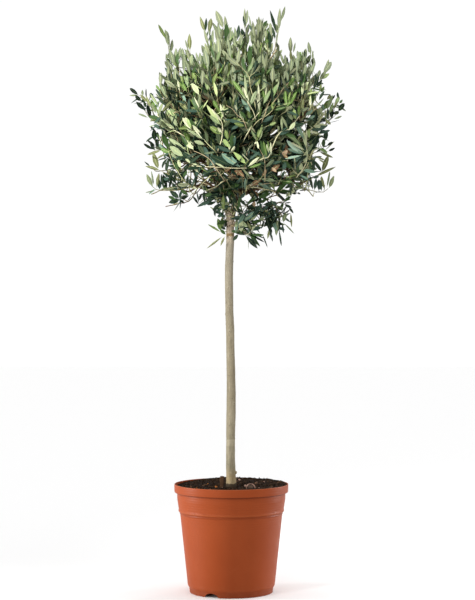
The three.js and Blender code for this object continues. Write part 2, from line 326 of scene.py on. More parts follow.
def pot_material():
    n = Nodes("terracotta_plastic")
    z = n.height()
    cloud = n.noise(14, 3, 0.5)
    streak = n.noise(60, 3, 0.5, n.stretched(1, 1, 0.05))
    speck = n.noise(900, 2, 0.6)
    col = n.ramp(cloud, [(0.25, (0.220, 0.0396, 0.0088)), (0.75, (0.244, 0.0460, 0.0108))])
    col = n.mix(n.range(streak, 0.35, 0.75, 0.0, 0.16), col, (0.230, 0.050, 0.0145))
    col = n.mix(n.range(speck, 0.62, 0.8, 0.0, 0.22), col, (0.150, 0.027, 0.0075))
    # light scuffs round the body, rubbed dull dust towards the foot, and a painted highlight along the lip
    scuff = n.math("MULTIPLY", n.range(n.noise(26, 6, 0.7, n.stretched(1, 1, 2.6), 1.5), 0.60, 0.72), n.range(n.noise(7, 2), 0.48, 0.62))
    col = n.mix(n.math("MULTIPLY", scuff, 0.16), col, (0.32, 0.12, 0.06))
    foot = n.math("MULTIPLY", n.range(z, 0.028, 0.002), n.range(n.noise(55, 4, 0.6), 0.35, 0.7))
    col = n.mix(n.math("MULTIPLY", foot, 0.20, True), col, (0.26, 0.11, 0.06))
    # painted highlight: a paler band along the lip's rounded top edge
    lip_highlight = n.range(z, 0.2256, 0.2269)
    col = n.mix(n.math("MULTIPLY", lip_highlight, 0.40, True), col, (0.33, 0.105, 0.045))
    # painted shade: a dark band in the groove under the rim
    groove = n.math("MULTIPLY", n.range(z, 0.2062, 0.2088), n.range(z, 0.2112, 0.2100))
    col = n.mix(n.math("MULTIPLY", groove, 0.55), col, (0.075, 0.012, 0.004))
    # painted shade: a dark band just under the collar's step
    step = n.math("MULTIPLY", n.range(z, 0.1630, 0.1655), n.range(z, 0.1690, 0.1675))
    col = n.mix(n.math("MULTIPLY", step, 0.30), col, (0.100, 0.017, 0.005))
    # painted highlight: a paler line along the rounded bead at the collar's foot
    bead_highlight = n.math("MULTIPLY", n.range(z, 0.1690, 0.1705), n.range(z, 0.1745, 0.1725))
    col = n.mix(n.math("MULTIPLY", bead_highlight, 0.40), col, (0.270, 0.065, 0.020))
    # painted shade: darker where the body curves in to the foot
    low_edge_shade = n.range(z, 0.0140, 0.0080)
    col = n.mix(n.math("MULTIPLY", low_edge_shade, 0.35), col, (0.100, 0.016, 0.005))
    rough = n.math("ADD", n.range(n.noise(40, 4, 0.6), 0.3, 0.7, 0.42, 0.52), n.math("MULTIPLY", scuff, 0.12))
    fine = n.bump(n.noise(1400, 2, 0.5), 0.10, 0.0004)
    rings = n.node("ShaderNodeTexWave", {"Vector": n.stretched(1, 1, 1), "Scale": 62, "Distortion": 0.6, "Detail": 2, "Detail Scale": 1.5}, bands_direction="Z").outputs["Fac"]
    ringed = n.math("MULTIPLY", rings, n.range(z, 0.10, 0.165))
    return n.done(col, rough, n.bump(ringed, 0.16, 0.0006, fine), 0.08)


def bark_material():
    n = Nodes("olive_bark")
    z = n.height()
    relief = n.node("ShaderNodeAttribute", attribute_name="relief").outputs["Fac"]
    scar = n.node("ShaderNodeAttribute", attribute_name="scar").outputs["Fac"]
    long_grain = n.noise(420, 5, 0.62, n.stretched(1, 1, 0.10))
    blotch = n.noise(46, 4, 0.6, n.stretched(1, 1, 0.35))
    mottle = n.noise(190, 4, 0.65)
    col = n.ramp(blotch, [(0.28, (0.172, 0.144, 0.090)), (0.52, (0.216, 0.184, 0.124)), (0.78, (0.285, 0.248, 0.176))])
    col = n.mix(n.range(mottle, 0.50, 0.66, 0, 0.50), col, (0.150, 0.132, 0.090))
    col = n.mix(n.range(n.noise(330, 4, 0.7), 0.58, 0.70, 0, 0.55), col, (0.100, 0.084, 0.058))
    col = n.mix(n.range(n.noise(260, 4, 0.7, n.stretched(1, 1, 0.7), 2.0), 0.60, 0.72, 0, 0.55), col, (0.390, 0.350, 0.265))
    col = n.mix(n.range(long_grain, 0.56, 0.72, 0, 0.42), col, (0.110, 0.088, 0.056))
    # pinker, smoother young bark high on the stem, brown on the boughs; the pale tan near the stem's top is partly that
    # young bark and partly painted light, making up for the crown's shade
    col = n.mix(n.range(z, 0.52, 0.70, 0, 0.60), col, n.ramp(blotch, [(0.3, (0.170, 0.152, 0.116)), (0.7, (0.240, 0.214, 0.166))]))
    col = n.mix(n.range(z, 0.728, 0.762, 0, 0.85), col, (0.430, 0.345, 0.255))
    col = n.mix(n.range(z, 0.800, 0.835), col, n.ramp(long_grain, [(0.3, (0.080, 0.043, 0.020)), (0.7, (0.190, 0.110, 0.056))]))
    # the yellow-brown ring where a tie once sat, the pale band over an old joint, and moss-grey lower stem
    ring = n.math("MULTIPLY", n.range(z, 0.7465, 0.7485), n.range(z, 0.7545, 0.7525))
    col = n.mix(n.math("MULTIPLY", ring, 0.85), col, (0.215, 0.132, 0.040))
    band = n.math("MULTIPLY", n.range(z, 0.305, 0.309), n.range(z, 0.3215, 0.3190))
    col = n.mix(n.math("MULTIPLY", band, 0.45), col, (0.36, 0.32, 0.23))
    low = n.math("MULTIPLY", n.range(z, 0.42, 0.27), n.range(mottle, 0.38, 0.60))
    col = n.mix(n.math("MULTIPLY", low, 0.40), col, (0.190, 0.178, 0.110))
    # painted shade: the stem's left side is made darker below its middle
    side = n.node("ShaderNodeSeparateXYZ", {"Vector": n.node("ShaderNodeNewGeometry").outputs["Normal"]}).outputs["X"]
    left_side_shade = n.math("MULTIPLY", n.range(side, -0.55, -0.93), n.range(z, 0.56, 0.46))
    col = n.mix(n.math("MULTIPLY", left_side_shade, 0.42), col, (0.100, 0.088, 0.058))
    col = n.mix(n.range(z, 0.262, 0.240, 0, 0.75), col, n.ramp(mottle, [(0.35, (0.210, 0.148, 0.070)), (0.65, (0.290, 0.215, 0.115))]))
    # hollows of the bark are dark and its ridges rubbed pale; scars are brown
    col = n.mix(n.range(relief, 0.44, 0.22, 0, 0.60), col, (0.085, 0.068, 0.044))
    col = n.mix(n.range(relief, 0.58, 0.80, 0, 0.45), col, (0.370, 0.335, 0.250))
    col = n.mix(n.math("MULTIPLY", scar, 0.85), col, (0.060, 0.040, 0.024))
    # near-black at the collar, just above the soil
    collar_dark = n.range(n.math("ADD", z, n.range(mottle, 0.3, 0.7, -0.002, 0.002)), 0.2292, 0.2270)
    col = n.mix(n.math("MULTIPLY", collar_dark, 0.93), col, (0.024, 0.014, 0.008))
    dots = n.voronoi(340, n.stretched(1, 1, 0.6))
    col = n.mix(n.range(dots, 0.16, 0.05, 0, 0.55), col, (0.100, 0.076, 0.048))
    rough = n.range(long_grain, 0.3, 0.7, 0.72, 0.92)
    h = n.math("ADD", n.math("MULTIPLY", long_grain, 0.7), n.math("MULTIPLY", n.noise(1300, 3, 0.6), 0.3))
    return n.done(col, rough, n.bump(h, 0.55, 0.0008), 0.15)


def soil_material(name, dark, light, red):
    n = Nodes(name)
    a = n.noise(120, 5, 0.65)
    b = n.noise(700, 4, 0.7)
    col = n.ramp(a, [(0.3, dark), (0.62, light), (0.82, red)])
    col = n.mix(n.range(b, 0.55, 0.72, 0, 0.7), col, tuple(2.1 * c for c in light))
    col = n.mix(n.range(b, 0.42, 0.25, 0, 0.8), col, tuple(0.35 * c for c in dark))
    h = n.math("ADD", n.noise(420, 5, 0.7), n.math("MULTIPLY", b, 0.6))
    return n.done(col, n.range(a, 0.3, 0.7, 0.78, 0.97), n.bump(h, 0.8, 0.0016), 0.05)


pot_mat = pot_material()
bark_mat = bark_material()
peat = soil_material("peat", (0.0078, 0.0040, 0.0022), (0.0190, 0.0105, 0.0058), (0.032, 0.017, 0.009))
peat_brown = soil_material("peat_brown", (0.026, 0.0145, 0.0080), (0.052, 0.030, 0.016), (0.078, 0.044, 0.022))
chip_tan = soil_material("bark_chip", (0.062, 0.031, 0.017), (0.100, 0.054, 0.030), (0.135, 0.078, 0.044))
grit = soil_material("pale_grit", (0.13, 0.10, 0.062), (0.20, 0.155, 0.100), (0.27, 0.21, 0.15))
prill = soil_material("feed_prill", (0.26, 0.085, 0.020), (0.34, 0.125, 0.035), (0.38, 0.17, 0.055))
rind = soil_material("curled_rind", (0.20, 0.115, 0.085), (0.29, 0.180, 0.140), (0.36, 0.25, 0.20))
chip_grey = soil_material("grey_chip", (0.080, 0.052, 0.038), (0.120, 0.082, 0.062), (0.160, 0.110, 0.085))

# ------------------------------------------------------------------ pot

RIM_R, RIM_TOP, RIM_FOOT = 120.0, 227.0, 210.0
COLLAR_TOP_R, COLLAR_FOOT_R, COLLAR_FOOT_Z = 114.7, 110.6, 170.0
BODY_TOP_R, BODY_FOOT_R, BODY_FOOT_Z = 107.6, 91.6, 15.0
FOOT_R, PAD_R, FLOOR_UNDER, FLOOR, WALL = 88.0, 32.0, 10.0, 2.5, 2.0
NOTCH_AZ, NOTCHES, NOTCH_HALF, NOTCH_HIGH = 242.0, 3, 15.5, 9.0


def rounded(profile):
    """Rounds the corners of a closed (radius, height, fillet) profile."""
    out = []
    m = len(profile)
    for k, (r, z, f) in enumerate(profile):
        p = np.array([r, z], float)
        if f <= 0:
            out.append(p)
            continue
        a = np.array(profile[k - 1][:2], float) - p
        b = np.array(profile[(k + 1) % m][:2], float) - p
        la, lb = np.linalg.norm(a), np.linalg.norm(b)
        f = min(f, 0.45 * la, 0.45 * lb)
        pa, pb = p + a / la * f, p + b / lb * f
        for s in np.linspace(0, 1, 5):
            out.append((1 - s) ** 2 * pa + 2 * s * (1 - s) * p + s * s * pb)
    return np.array(out)


def lathe(name, profile, segments, material, closed_on_axis=True):
    """A turned body; the profile's first and last points are on the axis."""
    prof = profile[1:-1] if closed_on_axis else profile
    a = np.arange(segments) * 2 * math.pi / segments
    rings = np.stack([np.outer(prof[:, 0], np.cos(a)), np.outer(prof[:, 0], np.sin(a)), np.repeat(prof[:, 1:2], segments, axis=1)], axis=2)
    verts = rings.reshape(-1, 3)
    i, j = np.arange(segments), (np.arange(segments) + 1) % segments
    quads = np.concatenate([np.stack([k * segments + i, k * segments + j, (k + 1) * segments + j, (k + 1) * segments + i], axis=1) for k in range(len(prof) - 1)])
    b = Builder()
    n0 = len(verts)
    last = (len(prof) - 1) * segments
    verts = np.concatenate([verts, [[0, 0, profile[0, 1]], [0, 0, profile[-1, 1]]]])
    tris = np.concatenate([np.stack([j, i, np.full(segments, n0)], axis=1), np.stack([last + i, last + j, np.full(segments, n0 + 1)], axis=1)])
    b.block(verts, [quads, tris], [0, 0])
    return b.build(name, [material])


pot_profile = rounded([
    (0, 0, 0), (PAD_R, 0, 0.8), (PAD_R, FLOOR_UNDER, 0.8), (FOOT_R - 3, FLOOR_UNDER, 1.0), (FOOT_R - 3, 0, 0.8), (FOOT_R - 0.6, 0, 1.0),
    (FOOT_R + 0.4, 10.4, 2.0), (BODY_FOOT_R, BODY_FOOT_Z, 3.0), (BODY_TOP_R - 0.1, COLLAR_FOOT_Z - 6.0, 1.0), (BODY_TOP_R + 0.9, COLLAR_FOOT_Z - 4.6, 0.9),
    (BODY_TOP_R + 0.5, COLLAR_FOOT_Z - 1.6, 0.9), (COLLAR_FOOT_R + 0.3, COLLAR_FOOT_Z - 0.2, 1.2), (COLLAR_FOOT_R + 0.7, COLLAR_FOOT_Z + 2.2, 1.2), (COLLAR_FOOT_R - 0.1, COLLAR_FOOT_Z + 4.4, 1.0),
    (COLLAR_TOP_R - 1.1, RIM_FOOT - 15.0, 0.8), (COLLAR_TOP_R - 0.9, RIM_FOOT - 12.6, 0.8), (COLLAR_TOP_R - 0.6, RIM_FOOT - 1.6, 0.8), (COLLAR_TOP_R - 0.4, RIM_FOOT + 0.8, 0.8),
    (RIM_R - 1.6, RIM_FOOT - 0.5, 0.8), (RIM_R - 0.3, RIM_FOOT + 1.0, 1.2), (RIM_R, RIM_TOP - 4, 0.5), (RIM_R - 0.1, RIM_TOP - 0.1, 1.1), (RIM_R - 1.9, RIM_TOP, 0.9),
    (RIM_R - WALL - 0.1, RIM_TOP - 2, 0.5), (RIM_R - WALL, RIM_FOOT + 3, 1.5), (COLLAR_TOP_R - WALL, RIM_FOOT, 1.5), (COLLAR_FOOT_R - WALL, COLLAR_FOOT_Z + 3, 1.0),
    (BODY_TOP_R - WALL, COLLAR_FOOT_Z - 3, 1.0), (BODY_FOOT_R - WALL, BODY_FOOT_Z + 1, 1.5), (BODY_FOOT_R - WALL - 2, FLOOR_UNDER + FLOOR, 1.0),
    (PAD_R - WALL, FLOOR_UNDER + FLOOR, 0.6), (PAD_R - WALL, FLOOR, 0.6), (0, FLOOR, 0),
])
pot = lathe("pot_shell", pot_profile, 144, pot_mat)


def cutter(kind, **kw):
    bm = bmesh.new()
    bmesh.ops.create_cone(bm, cap_ends=True, segments=kw["segments"], radius1=1, radius2=1, depth=1)
    mesh = bpy.data.meshes.new(kind)
    bm.to_mesh(mesh)
    bm.free()
    obj = bpy.data.objects.new(kind, mesh)
    scene.collection.objects.link(obj)
    return obj


cutters = []
for k in range(NOTCHES):
    c = cutter("notch", segments=48)
    a = math.radians(NOTCH_AZ + 360 / NOTCHES * k)
    c.rotation_euler = (0, math.pi / 2, 0)
    c.data.transform(c.rotation_euler.to_matrix().to_4x4())
    c.rotation_euler = (0, 0, a)
    c.scale = (14 * MM, NOTCH_HALF * MM, NOTCH_HIGH * MM)
    c.location = (FOOT_R * MM * math.cos(a), FOOT_R * MM * math.sin(a), 0)
    cutters.append(c)
for k in range(8):
    c = cutter("drain", segments=32)
    a = (k + 0.5) / 8 * 2 * math.pi
    c.scale = (7 * MM, 7 * MM, 8 * MM)
    c.location = (60 * MM * math.cos(a), 60 * MM * math.sin(a), (FLOOR_UNDER + FLOOR / 2) * MM)
    cutters.append(c)
bpy.context.view_layer.update()
for k, c in enumerate(cutters):
    m = pot.modifiers.new(f"cut{k}", "BOOLEAN")
    m.operation, m.object, m.solver = "DIFFERENCE", c, "EXACT"
evaluated = pot.evaluated_get(bpy.context.evaluated_depsgraph_get())
cut_mesh = bpy.data.meshes.new_from_object(evaluated)
pot.modifiers.clear()
pot.data = cut_mesh
for c in cutters:
    bpy.data.objects.remove(c)


def shade_by_angle(mesh, degrees):
    """Smooth faces, with hard edges where two faces meet at more than this angle."""
    bm = bmesh.new()
    bm.from_mesh(mesh)
    for f in bm.faces:
        f.smooth = True
    for e in bm.edges:
        e.smooth = not (len(e.link_faces) == 2 and e.calc_face_angle(0) > math.radians(degrees))
    bm.to_mesh(mesh)
    bm.free()


shade_by_angle(pot.data, 32)
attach(pot, "root")
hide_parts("pot")

# ------------------------------------------------------------------ soil


def soil_height(x, y):
    """Level of the potting soil, in mm: a dip round the stem, heaped a little at the back and right."""
    r = np.hypot(x, y)
    z = table([(0, 220.0), (12, 220.0), (24, 218.2), (44, 219.4), (84, 221.4), (112, 222.3), (120, 222.5)], r)
    z = z + 5.2 * np.clip((0.45 * x + y) / 100, -0.35, 1.0) * np.clip(r / 60, 0, 1) ** 1.5
    p = np.stack([x, y, np.zeros_like(x)], axis=1)
    return z + 1.6 * fractal(p / 16, 3, 5) + 0.9 * fractal(p / 4.2, 3, 9) * np.clip(r / 25, 0.4, 1)


def make_soil():
    b = Builder()
    segs, rings, inner = 200, 74, 117.4
    a = np.arange(segs) * 2 * math.pi / segs
    rr = inner * np.linspace(0.02, 1, rings)
    x, y = np.outer(rr, np.cos(a)).reshape(-1), np.outer(rr, np.sin(a)).reshape(-1)
    z = soil_height(x, y)
    top = np.stack([x, y, z], axis=1)
    under = np.stack([inner * np.cos(a), inner * np.sin(a), np.full(segs, 212.5)], axis=1)
    under2 = np.stack([108 * np.cos(a), 108 * np.sin(a), np.full(segs, 205.0)], axis=1)
    verts = np.concatenate([top, under, under2, [[0, 0, soil_height(np.array([0.0]), np.array([0.0]))[0]], [0, 0, 200.0]]])
    i, j = np.arange(segs), (np.arange(segs) + 1) % segs
    quads = np.concatenate([np.stack([k * segs + i, (k + 1) * segs + i, (k + 1) * segs + j, k * segs + j], axis=1) for k in range(rings + 1)])
    n0 = (rings + 2) * segs
    last = (rings + 1) * segs
    tris = np.concatenate([np.stack([i, j, np.full(segs, n0)], axis=1), np.stack([last + j, last + i, np.full(segs, n0 + 1)], axis=1)])
    b.block(verts, [quads, tris], [0, 0])
    return b.build("potting_soil", [peat])


def lump(seed, detail=1):
    """An uneven pebble-like crumb of about unit radius."""
    bm = bmesh.new()
    bmesh.ops.create_icosphere(bm, subdivisions=detail, radius=1.0)
    v = np.array([x.co for x in bm.verts])
    f = np.array([[x.index for x in g.verts] for g in bm.faces])
    bm.free()
    v = v * (1 + 0.34 * noise(v * 1.3 + seed * 3.7, seed))[:, None] * np.array([1.0, 0.82, 0.68])
    return v, f


def scatter_lumps(b, rng, n, sizes, mats, weights, spread_r, lift, detail=1):
    kinds = [lump(s, detail) for s in range(5)]
    for _ in range(n):
        r = spread_r * math.sqrt(rng.random())
        a = rng.random() * 2 * math.pi
        if r < 11.5:
            continue
        x, y = r * math.cos(a), r * math.sin(a)
        s = sizes[0] + (sizes[1] - sizes[0]) * rng.random() ** 2.2
        if math.hypot(x, y) + s > 117.0:
            continue
        z = soil_height(np.array([x]), np.array([y]))[0] + lift * s
        v, f = kinds[rng.integers(5)]
        q = unit(rng.normal(size=4))
        w, i, j, k = q
        rot = np.array([[1 - 2 * (j * j + k * k), 2 * (i * j - k * w), 2 * (i * k + j * w)], [2 * (i * j + k * w), 1 - 2 * (i * i + k * k), 2 * (j * k - i * w)], [2 * (i * k - j * w), 2 * (j * k + i * w), 1 - 2 * (i * i + j * j)]])
        b.block((v * s) @ rot.T + [x, y, z], [f], [int(rng.choice(mats, p=weights))])


soil = make_soil()
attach(soil, "root")
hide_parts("soil")

rng = np.random.default_rng(SEED + 1)
b = Builder()
scatter_lumps(b, rng, 2000, (0.5, 2.5), [0, 1, 2], [0.74, 0.23, 0.03], 116.5, 0.15)
scatter_lumps(b, rng, 60, (2.2, 3.8), [0, 1], [0.8, 0.2], 108, -0.05, 2)
crumbs = b.build("soil_crumbs", [peat, peat_brown, chip_tan])
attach(crumbs, "root")

b = Builder()
for _ in range(230):  # short peat fibres and bits of fine root
    r, a = 112 * math.sqrt(rng.random()), rng.random() * 2 * math.pi
    if r < 13:
        continue
    x, y = r * math.cos(a), r * math.sin(a)
    L, h = 3 + 9 * rng.random(), rng.random() * 2 * math.pi
    s = np.linspace(-0.5, 0.5, 5)
    px = np.clip(x + L * s * math.cos(h) + 1.2 * np.sin(4 * s + a), -113, 113)
    py = np.clip(y + L * s * math.sin(h) + 1.2 * np.cos(5 * s + a), -113, 113)
    if np.hypot(px, py).max() > 115:
        continue
    pz = soil_height(px, py) + 0.6 + 0.8 * rng.random() * (1 - 4 * s * s)
    b.tube(np.stack([px, py, pz], axis=1), np.full(5, 0.18 + 0.22 * rng.random()), 4, int(rng.choice([0, 1], p=[0.6, 0.4])))
# bark chips: one upright behind-left of the stem, a pale-rimmed curled one and others lying about
CHIPS = [(-20.5, -3.0, 8.0, 31, 89, 8, 1), (52, 30, 6, 14, 12, 80, 1), (-62, 22, 5, 12, 8, 20, 1), (12, 58, 6, 11, 15, 120, 1), (-38, -52, 5, 10, 10, 150, 1), (80, -40, 6, 12, 10, 60, 1), (-84, -10, 5, 9, 14, 100, 1), (96, 22, 5, 11, 12, 30, 1), (66, -64, 5, 10, 12, 30, 1)]
for x, y, w, length, tilt, turn, mat in CHIPS:
    n = 7
    s = np.linspace(0, 1, n)
    t, h = math.radians(tilt), math.radians(turn)
    z0 = soil_height(np.array([float(x)]), np.array([float(y)]))[0] - (7 if tilt > 60 else 0.4)
    left, right = [], []
    for k in range(n):
        d = length * s[k]
        c = np.array([x + d * math.cos(t) * math.cos(h), y + d * math.cos(t) * math.sin(h), z0 + d * math.sin(t) + 0.8 * math.sin(3 * s[k])])
        side = np.array([-math.sin(h), math.cos(h), 0]) if tilt < 60 else np.array([1.0, 0.25, 0])
        side = unit(side) * (w / 2) * (1 - 0.22 * noise(np.array([[k * 0.9, x, 0]]), 3)[0]) * (0.72 if k in (0, n - 1) else 1)
        left.append(c - side)
        right.append(c + side)
    up = np.array([0, 0, 1.1]) if tilt < 60 else np.array([0, 1.1, 0])
    l, r = np.array(left), np.array(right)
    mid = (l + r) / 2 + up * 0.9
    verts = np.concatenate([l + up * 0.5, mid + up * 0.5, r + up * 0.5, l - up * 0.5, mid - up * 0.5, r - up * 0.5])
    g = lambda row, k: row * n + k
    quads = []
    for k in range(n - 1):
        quads += [[g(0, k), g(0, k + 1), g(1, k + 1), g(1, k)], [g(1, k), g(1, k + 1), g(2, k + 1), g(2, k)], [g(3, k + 1), g(3, k), g(4, k), g(4, k + 1)], [g(4, k + 1), g(4, k), g(5, k), g(5, k + 1)],
                  [g(0, k + 1), g(0, k), g(3, k), g(3, k + 1)], [g(2, k), g(2, k + 1), g(5, k + 1), g(5, k)]]
    for k, o in ((0, 1), (n - 1, -1)):
        for p, q in ((0, 1), (1, 2)):
            face = [g(p, k), g(q, k), g(q + 3, k), g(p + 3, k)]
            quads.append(face if o > 0 else face[::-1])
    b.block(verts, [np.array(quads)], [0 if mat else 2])
v, f = lump(2, 3)
for x, y, s, m in ((-32, -6, 2.7, 3), (29.5, 4, 2.9, 4), (17.5, 72, 2.2, 4), (58, -30, 1.2, 4), (-50, 40, 1.4, 3), (-72, -36, 1.4, 3), (18, 74, 1.5, 4), (-84, 4, 1.3, 2), (70, 42, 1.4, 4)):
    z = soil_height(np.array([float(x)]), np.array([float(y)]))[0] + 0.9 * s
    b.block(v * s * [1.05, 1.1, 1.35] + [x, y, z], [f], [m])
# a curled rind of bark standing on edge to the right of the stem, and a loose pale flake at the left chip's foot
arch = np.linspace(-0.02 * math.pi, 1.12 * math.pi, 17)
line = np.stack([39.5 + (8.6 + 1.6 * np.cos(arch)) * np.cos(arch), -27.0 + 2.0 * np.sin(2 * arch), 221.0 + 8.4 * np.sin(arch)], axis=1)
b.tube(line, 1.15 + 0.30 * np.sin(3 * arch), 8, 5)
v, f = lump(3, 3)
b.block(v * [7.8, 2.2, 7.9] + [39.0, -25.0, 221.6], [f], [6])
v, f = lump(2, 3)
b.block(v * [1.1, 0.7, 3.2] + [-18.8, -9.0, 218.5], [f], [5])
litter = b.build("soil_litter", [chip_tan, peat_brown, grit, prill, rind, rind, chip_grey])
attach(litter, "root")

# ------------------------------------------------------------------ trunk and boughs

FORK_Z = 795.0
TRUNK_R = [(205, 13.4), (218, 12.2), (223, 11.2), (230, 10.6), (243, 10.2), (283, 9.4), (361, 9.7), (508, 8.8), (620, 8.5), (770, 8.5), (786, 9.0), (795, 7.6)]
TRUNK_X = [(218, -0.2), (297, -1.7), (403, -0.2), (533, -1.9), (597, -4.2), (672, -4.8), (748, -2.3), (795, -2.0)]
TRUNK_Y = [(218, 0), (360, 2.2), (520, -1.8), (680, 1.2), (795, 0)]
# each bough: points from the fork to the middle of its mass, and thickness as a share of 4.6 mm
BOUGHS = {
    "bough_leader": ([(0.1, 3.6, 792), (12.4, 25, 857), (13.1, 13.7, 940.4), (14, 0, 1020)], 0.96),
    "bough_right": ([(2.1, -0.7, 792), (20.7, -4, 839), (73.8, -2.2, 916), (138.7, 0, 987.9)], 0.92),
    "bough_left": ([(-6.2, -0.1, 792), (-25.7, -0.8, 841), (-63.7, -0.5, 917.1), (-110.2, 0, 988)], 0.88),
    "bough_front_left": ([(-4.6, -3.3, 792), (-15.4, -17.2, 835), (-29.6, -57, 909.5), (-47, -105.6, 978.4)], 0.74),
    "bough_front_right": ([(0.3, -3.5, 792), (9.8, -17.5, 833), (38.9, -56.8, 910.8), (74.5, -104.8, 983.6)], 0.76),
    "bough_back_left": ([(-4.2, 3.6, 779), (-15.6, 21.7, 834), (-29.9, 59.8, 908.6), (-47.4, 106.4, 977.6)], 0.78),
    "bough_back_right": ([(0.2, 3.6, 765), (14, 25.5, 834), (41.3, 61.3, 908.5), (74.6, 105, 977.4)], 0.80),
    "bough_low_right": ([(5.5, -3, 773), (20, -8.5, 789), (34, -12, 797), (60, -15, 800)], 0.56),
    "pruned_stub": ([(-3.5, -5.4, 786), (-3.6, -5.7, 796), (-4.3, -6.0, 802), (-5.7, -6.2, 808)], 0.46),
}
SHARE, TIP_SHARE, BOUGH_R = 0.55, 0.48, 4.6
bough_lines, bough_radii = {}, {}
for name, (points, share) in BOUGHS.items():
    line = catmull(points, 30 if name != "pruned_stub" else 8)
    wander = np.clip(np.linspace(0, 3, len(line)), 0, 1)[:, None]
    if name != "pruned_stub":
        line = line + wander * 2.2 * np.stack([noise(line / 34 + 3.1, 41), noise(line / 34 + 7.7, 42), 0 * line[:, 0]], axis=1)
    bough_lines[name] = line
    bough_radii[name] = BOUGH_R * share * np.linspace(1, TIP_SHARE if name != "pruned_stub" else 0.62, len(line))


def make_wood():
    """Trunk and boughs grown together as one skin, then given the bark's relief."""
    bm_all = Builder()
    z = np.concatenate([np.linspace(206, 240, 14)[:-1], np.linspace(240, FORK_Z, 130)])
    centre = np.stack([table(TRUNK_X, z), table(TRUNK_Y, z), z], axis=1)
    bm_all.tube(centre, table(TRUNK_R, z), 40, 0)
    for name, line in bough_lines.items():
        keep = len(line) if name == "pruned_stub" else 24
        r = bough_radii[name][:keep].copy()
        r[:3] *= [1.35, 1.18, 1.06]
        bm_all.tube(line[:keep], r, 16, 0)
    # swollen crotch under the fork, a pruned shoulder at its right, and the two nubs low and high on the stem
    for p, q, r in (((-2, 0, 782), (-2, 0, 797), 8.6), ((3.2, -3.5, 786), (6.4, -4.6, 796), 3.4), ((8.2, -2.5, 248), (10.6, -3.2, 253), 2.6), ((-8.8, -3, 729), (-10.6, -3.8, 732), 1.7)):
        line = np.linspace(p, q, 5)
        bm_all.tube(line, np.array([0.7, 1, 1, 0.95, 0.6]) * r, 16, 0)
    wood = bm_all.build("wood", [bark_mat])
    m = wood.modifiers.new("skin", "REMESH")
    m.mode, m.voxel_size, m.use_smooth_shade = "VOXEL", 0.95 * MM, True
    s = wood.modifiers.new("ease", "SMOOTH")
    s.factor, s.iterations = 0.5, 4
    skin = bpy.data.meshes.new_from_object(wood.evaluated_get(bpy.context.evaluated_depsgraph_get()))
    wood.modifiers.clear()
    wood.data = skin
    n = len(skin.vertices)
    co = np.zeros(n * 3, np.float32)
    skin.vertices.foreach_get("co", co)
    co = co.reshape(-1, 3).astype(float) / MM
    no = np.zeros(n * 3, np.float32)
    skin.vertices.foreach_get("normal", no)
    no = no.reshape(-1, 3).astype(float)
    zz = co[:, 2]
    on_trunk = np.clip((790 - zz) / 20, 0, 1)
    scar = np.zeros(n)
    d = 0.50 * fractal(co / [5.0, 5.0, 34.0], 3, 61) * on_trunk
    d += 0.26 * fractal(co / [1.9, 1.9, 11.0], 3, 67)
    d += 0.30 * noise(co / [22, 22, 40], 71) * on_trunk
    crease = np.abs(noise(co / [2.6, 2.6, 26.0], 73))
    d -= 0.30 * np.clip(1 - crease / 0.16, 0, 1) * on_trunk
    # old pruning knots: a swelling with a sunk, lipped middle; x and z seen from the front, and others round the back
    cx, cy = table(TRUNK_X, zz), table(TRUNK_Y, zz)
    ang = np.arctan2(co[:, 1] - cy, co[:, 0] - cx)
    rad = np.hypot(co[:, 0] - cx, co[:, 1] - cy)
    knots = [(-1.0, -1, 639, 1.5), (3.4, -1, 708, 1.2), (-3.4, -1, 729, 1.3), (1.8, -1, 603, 1.6), (-1.5, -1, 548, 1.6), (5.0, -1, 556, 1.3), (4.6, -1, 499, 1.5), (2.0, -1, 407, 1.6), (-4.2, -1, 455, 1.2), (5.5, -1, 396, 1.8), (-2.8, -1, 350, 1.3), (3.8, -1, 330, 1.2), (-5, -1, 268, 1.4)]
    krng = np.random.default_rng(SEED + 2)
    knots += [(0, krng.uniform(0.1, math.pi - 0.1), z, krng.uniform(1.1, 2.0)) for z in np.linspace(262, 768, 15) + krng.uniform(-12, 12, 15)]
    for kx, ka, kz, ks in knots:
        a = -math.pi / 2 + math.asin(np.clip(kx / 9.0, -0.95, 0.95)) if ka == -1 else ka
        da = (ang - a + math.pi) % (2 * math.pi) - math.pi
        q = np.hypot(da * rad / ks, (zz - kz) / (ks * 0.85))
        near = on_trunk * (q < 4)
        d += near * (0.55 * np.exp(-((q - 0.95) ** 2) / 0.30) - 0.62 * np.exp(-(q ** 2) / 0.35) + 0.30 * np.exp(-(q ** 2) / 3.5)) * ks * 0.55
        scar = np.maximum(scar, near * np.clip(1.35 - q, 0, 1))
    # the tie's shallow groove, the old joint's step and the collar's flare ridges
    d -= 0.28 * np.exp(-((zz - 750.5) ** 2) / 5.0)
    d += 0.25 * np.exp(-((zz - 745.5) ** 2) / 4.0) + 0.20 * np.exp(-((zz - 755.5) ** 2) / 4.0)
    seam = zz - 321 - 1.6 * np.sin(ang + 1.0)
    d += 0.32 * np.clip(1 - np.abs(seam + 1.2) / 2.4, 0, 1) - 0.34 * np.exp(-((seam - 0.9) ** 2) / 0.9)
    d += 0.8 * np.clip((244 - zz) / 24, 0, 1) * np.clip(noise(np.stack([np.cos(ang) * 1.9, np.sin(ang) * 1.9, zz / 60], axis=1), 79), -0.3, 1)
    for label, values in (("relief", np.clip(0.5 + 0.42 * d, 0, 1)), ("scar", np.clip(scar, 0, 1))):
        skin.attributes.new(label, "FLOAT", "POINT").data.foreach_set("value", values.astype(np.float32))
    co += no * d[:, None] * np.where(zz > 800, 0.55, 1.0)[:, None]
    skin.vertices.foreach_set("co", (co * MM).astype(np.float32).reshape(-1))
    skin.materials.clear()
    skin.materials.append(bark_mat)
    skin.polygons.foreach_set("use_smooth", np.ones(len(skin.polygons), bool))
    skin.update()
    return wood


wood = make_wood()
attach(wood, "root")
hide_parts("trunk", *BOUGHS)

# ------------------------------------------------------------------ leaves: one blade

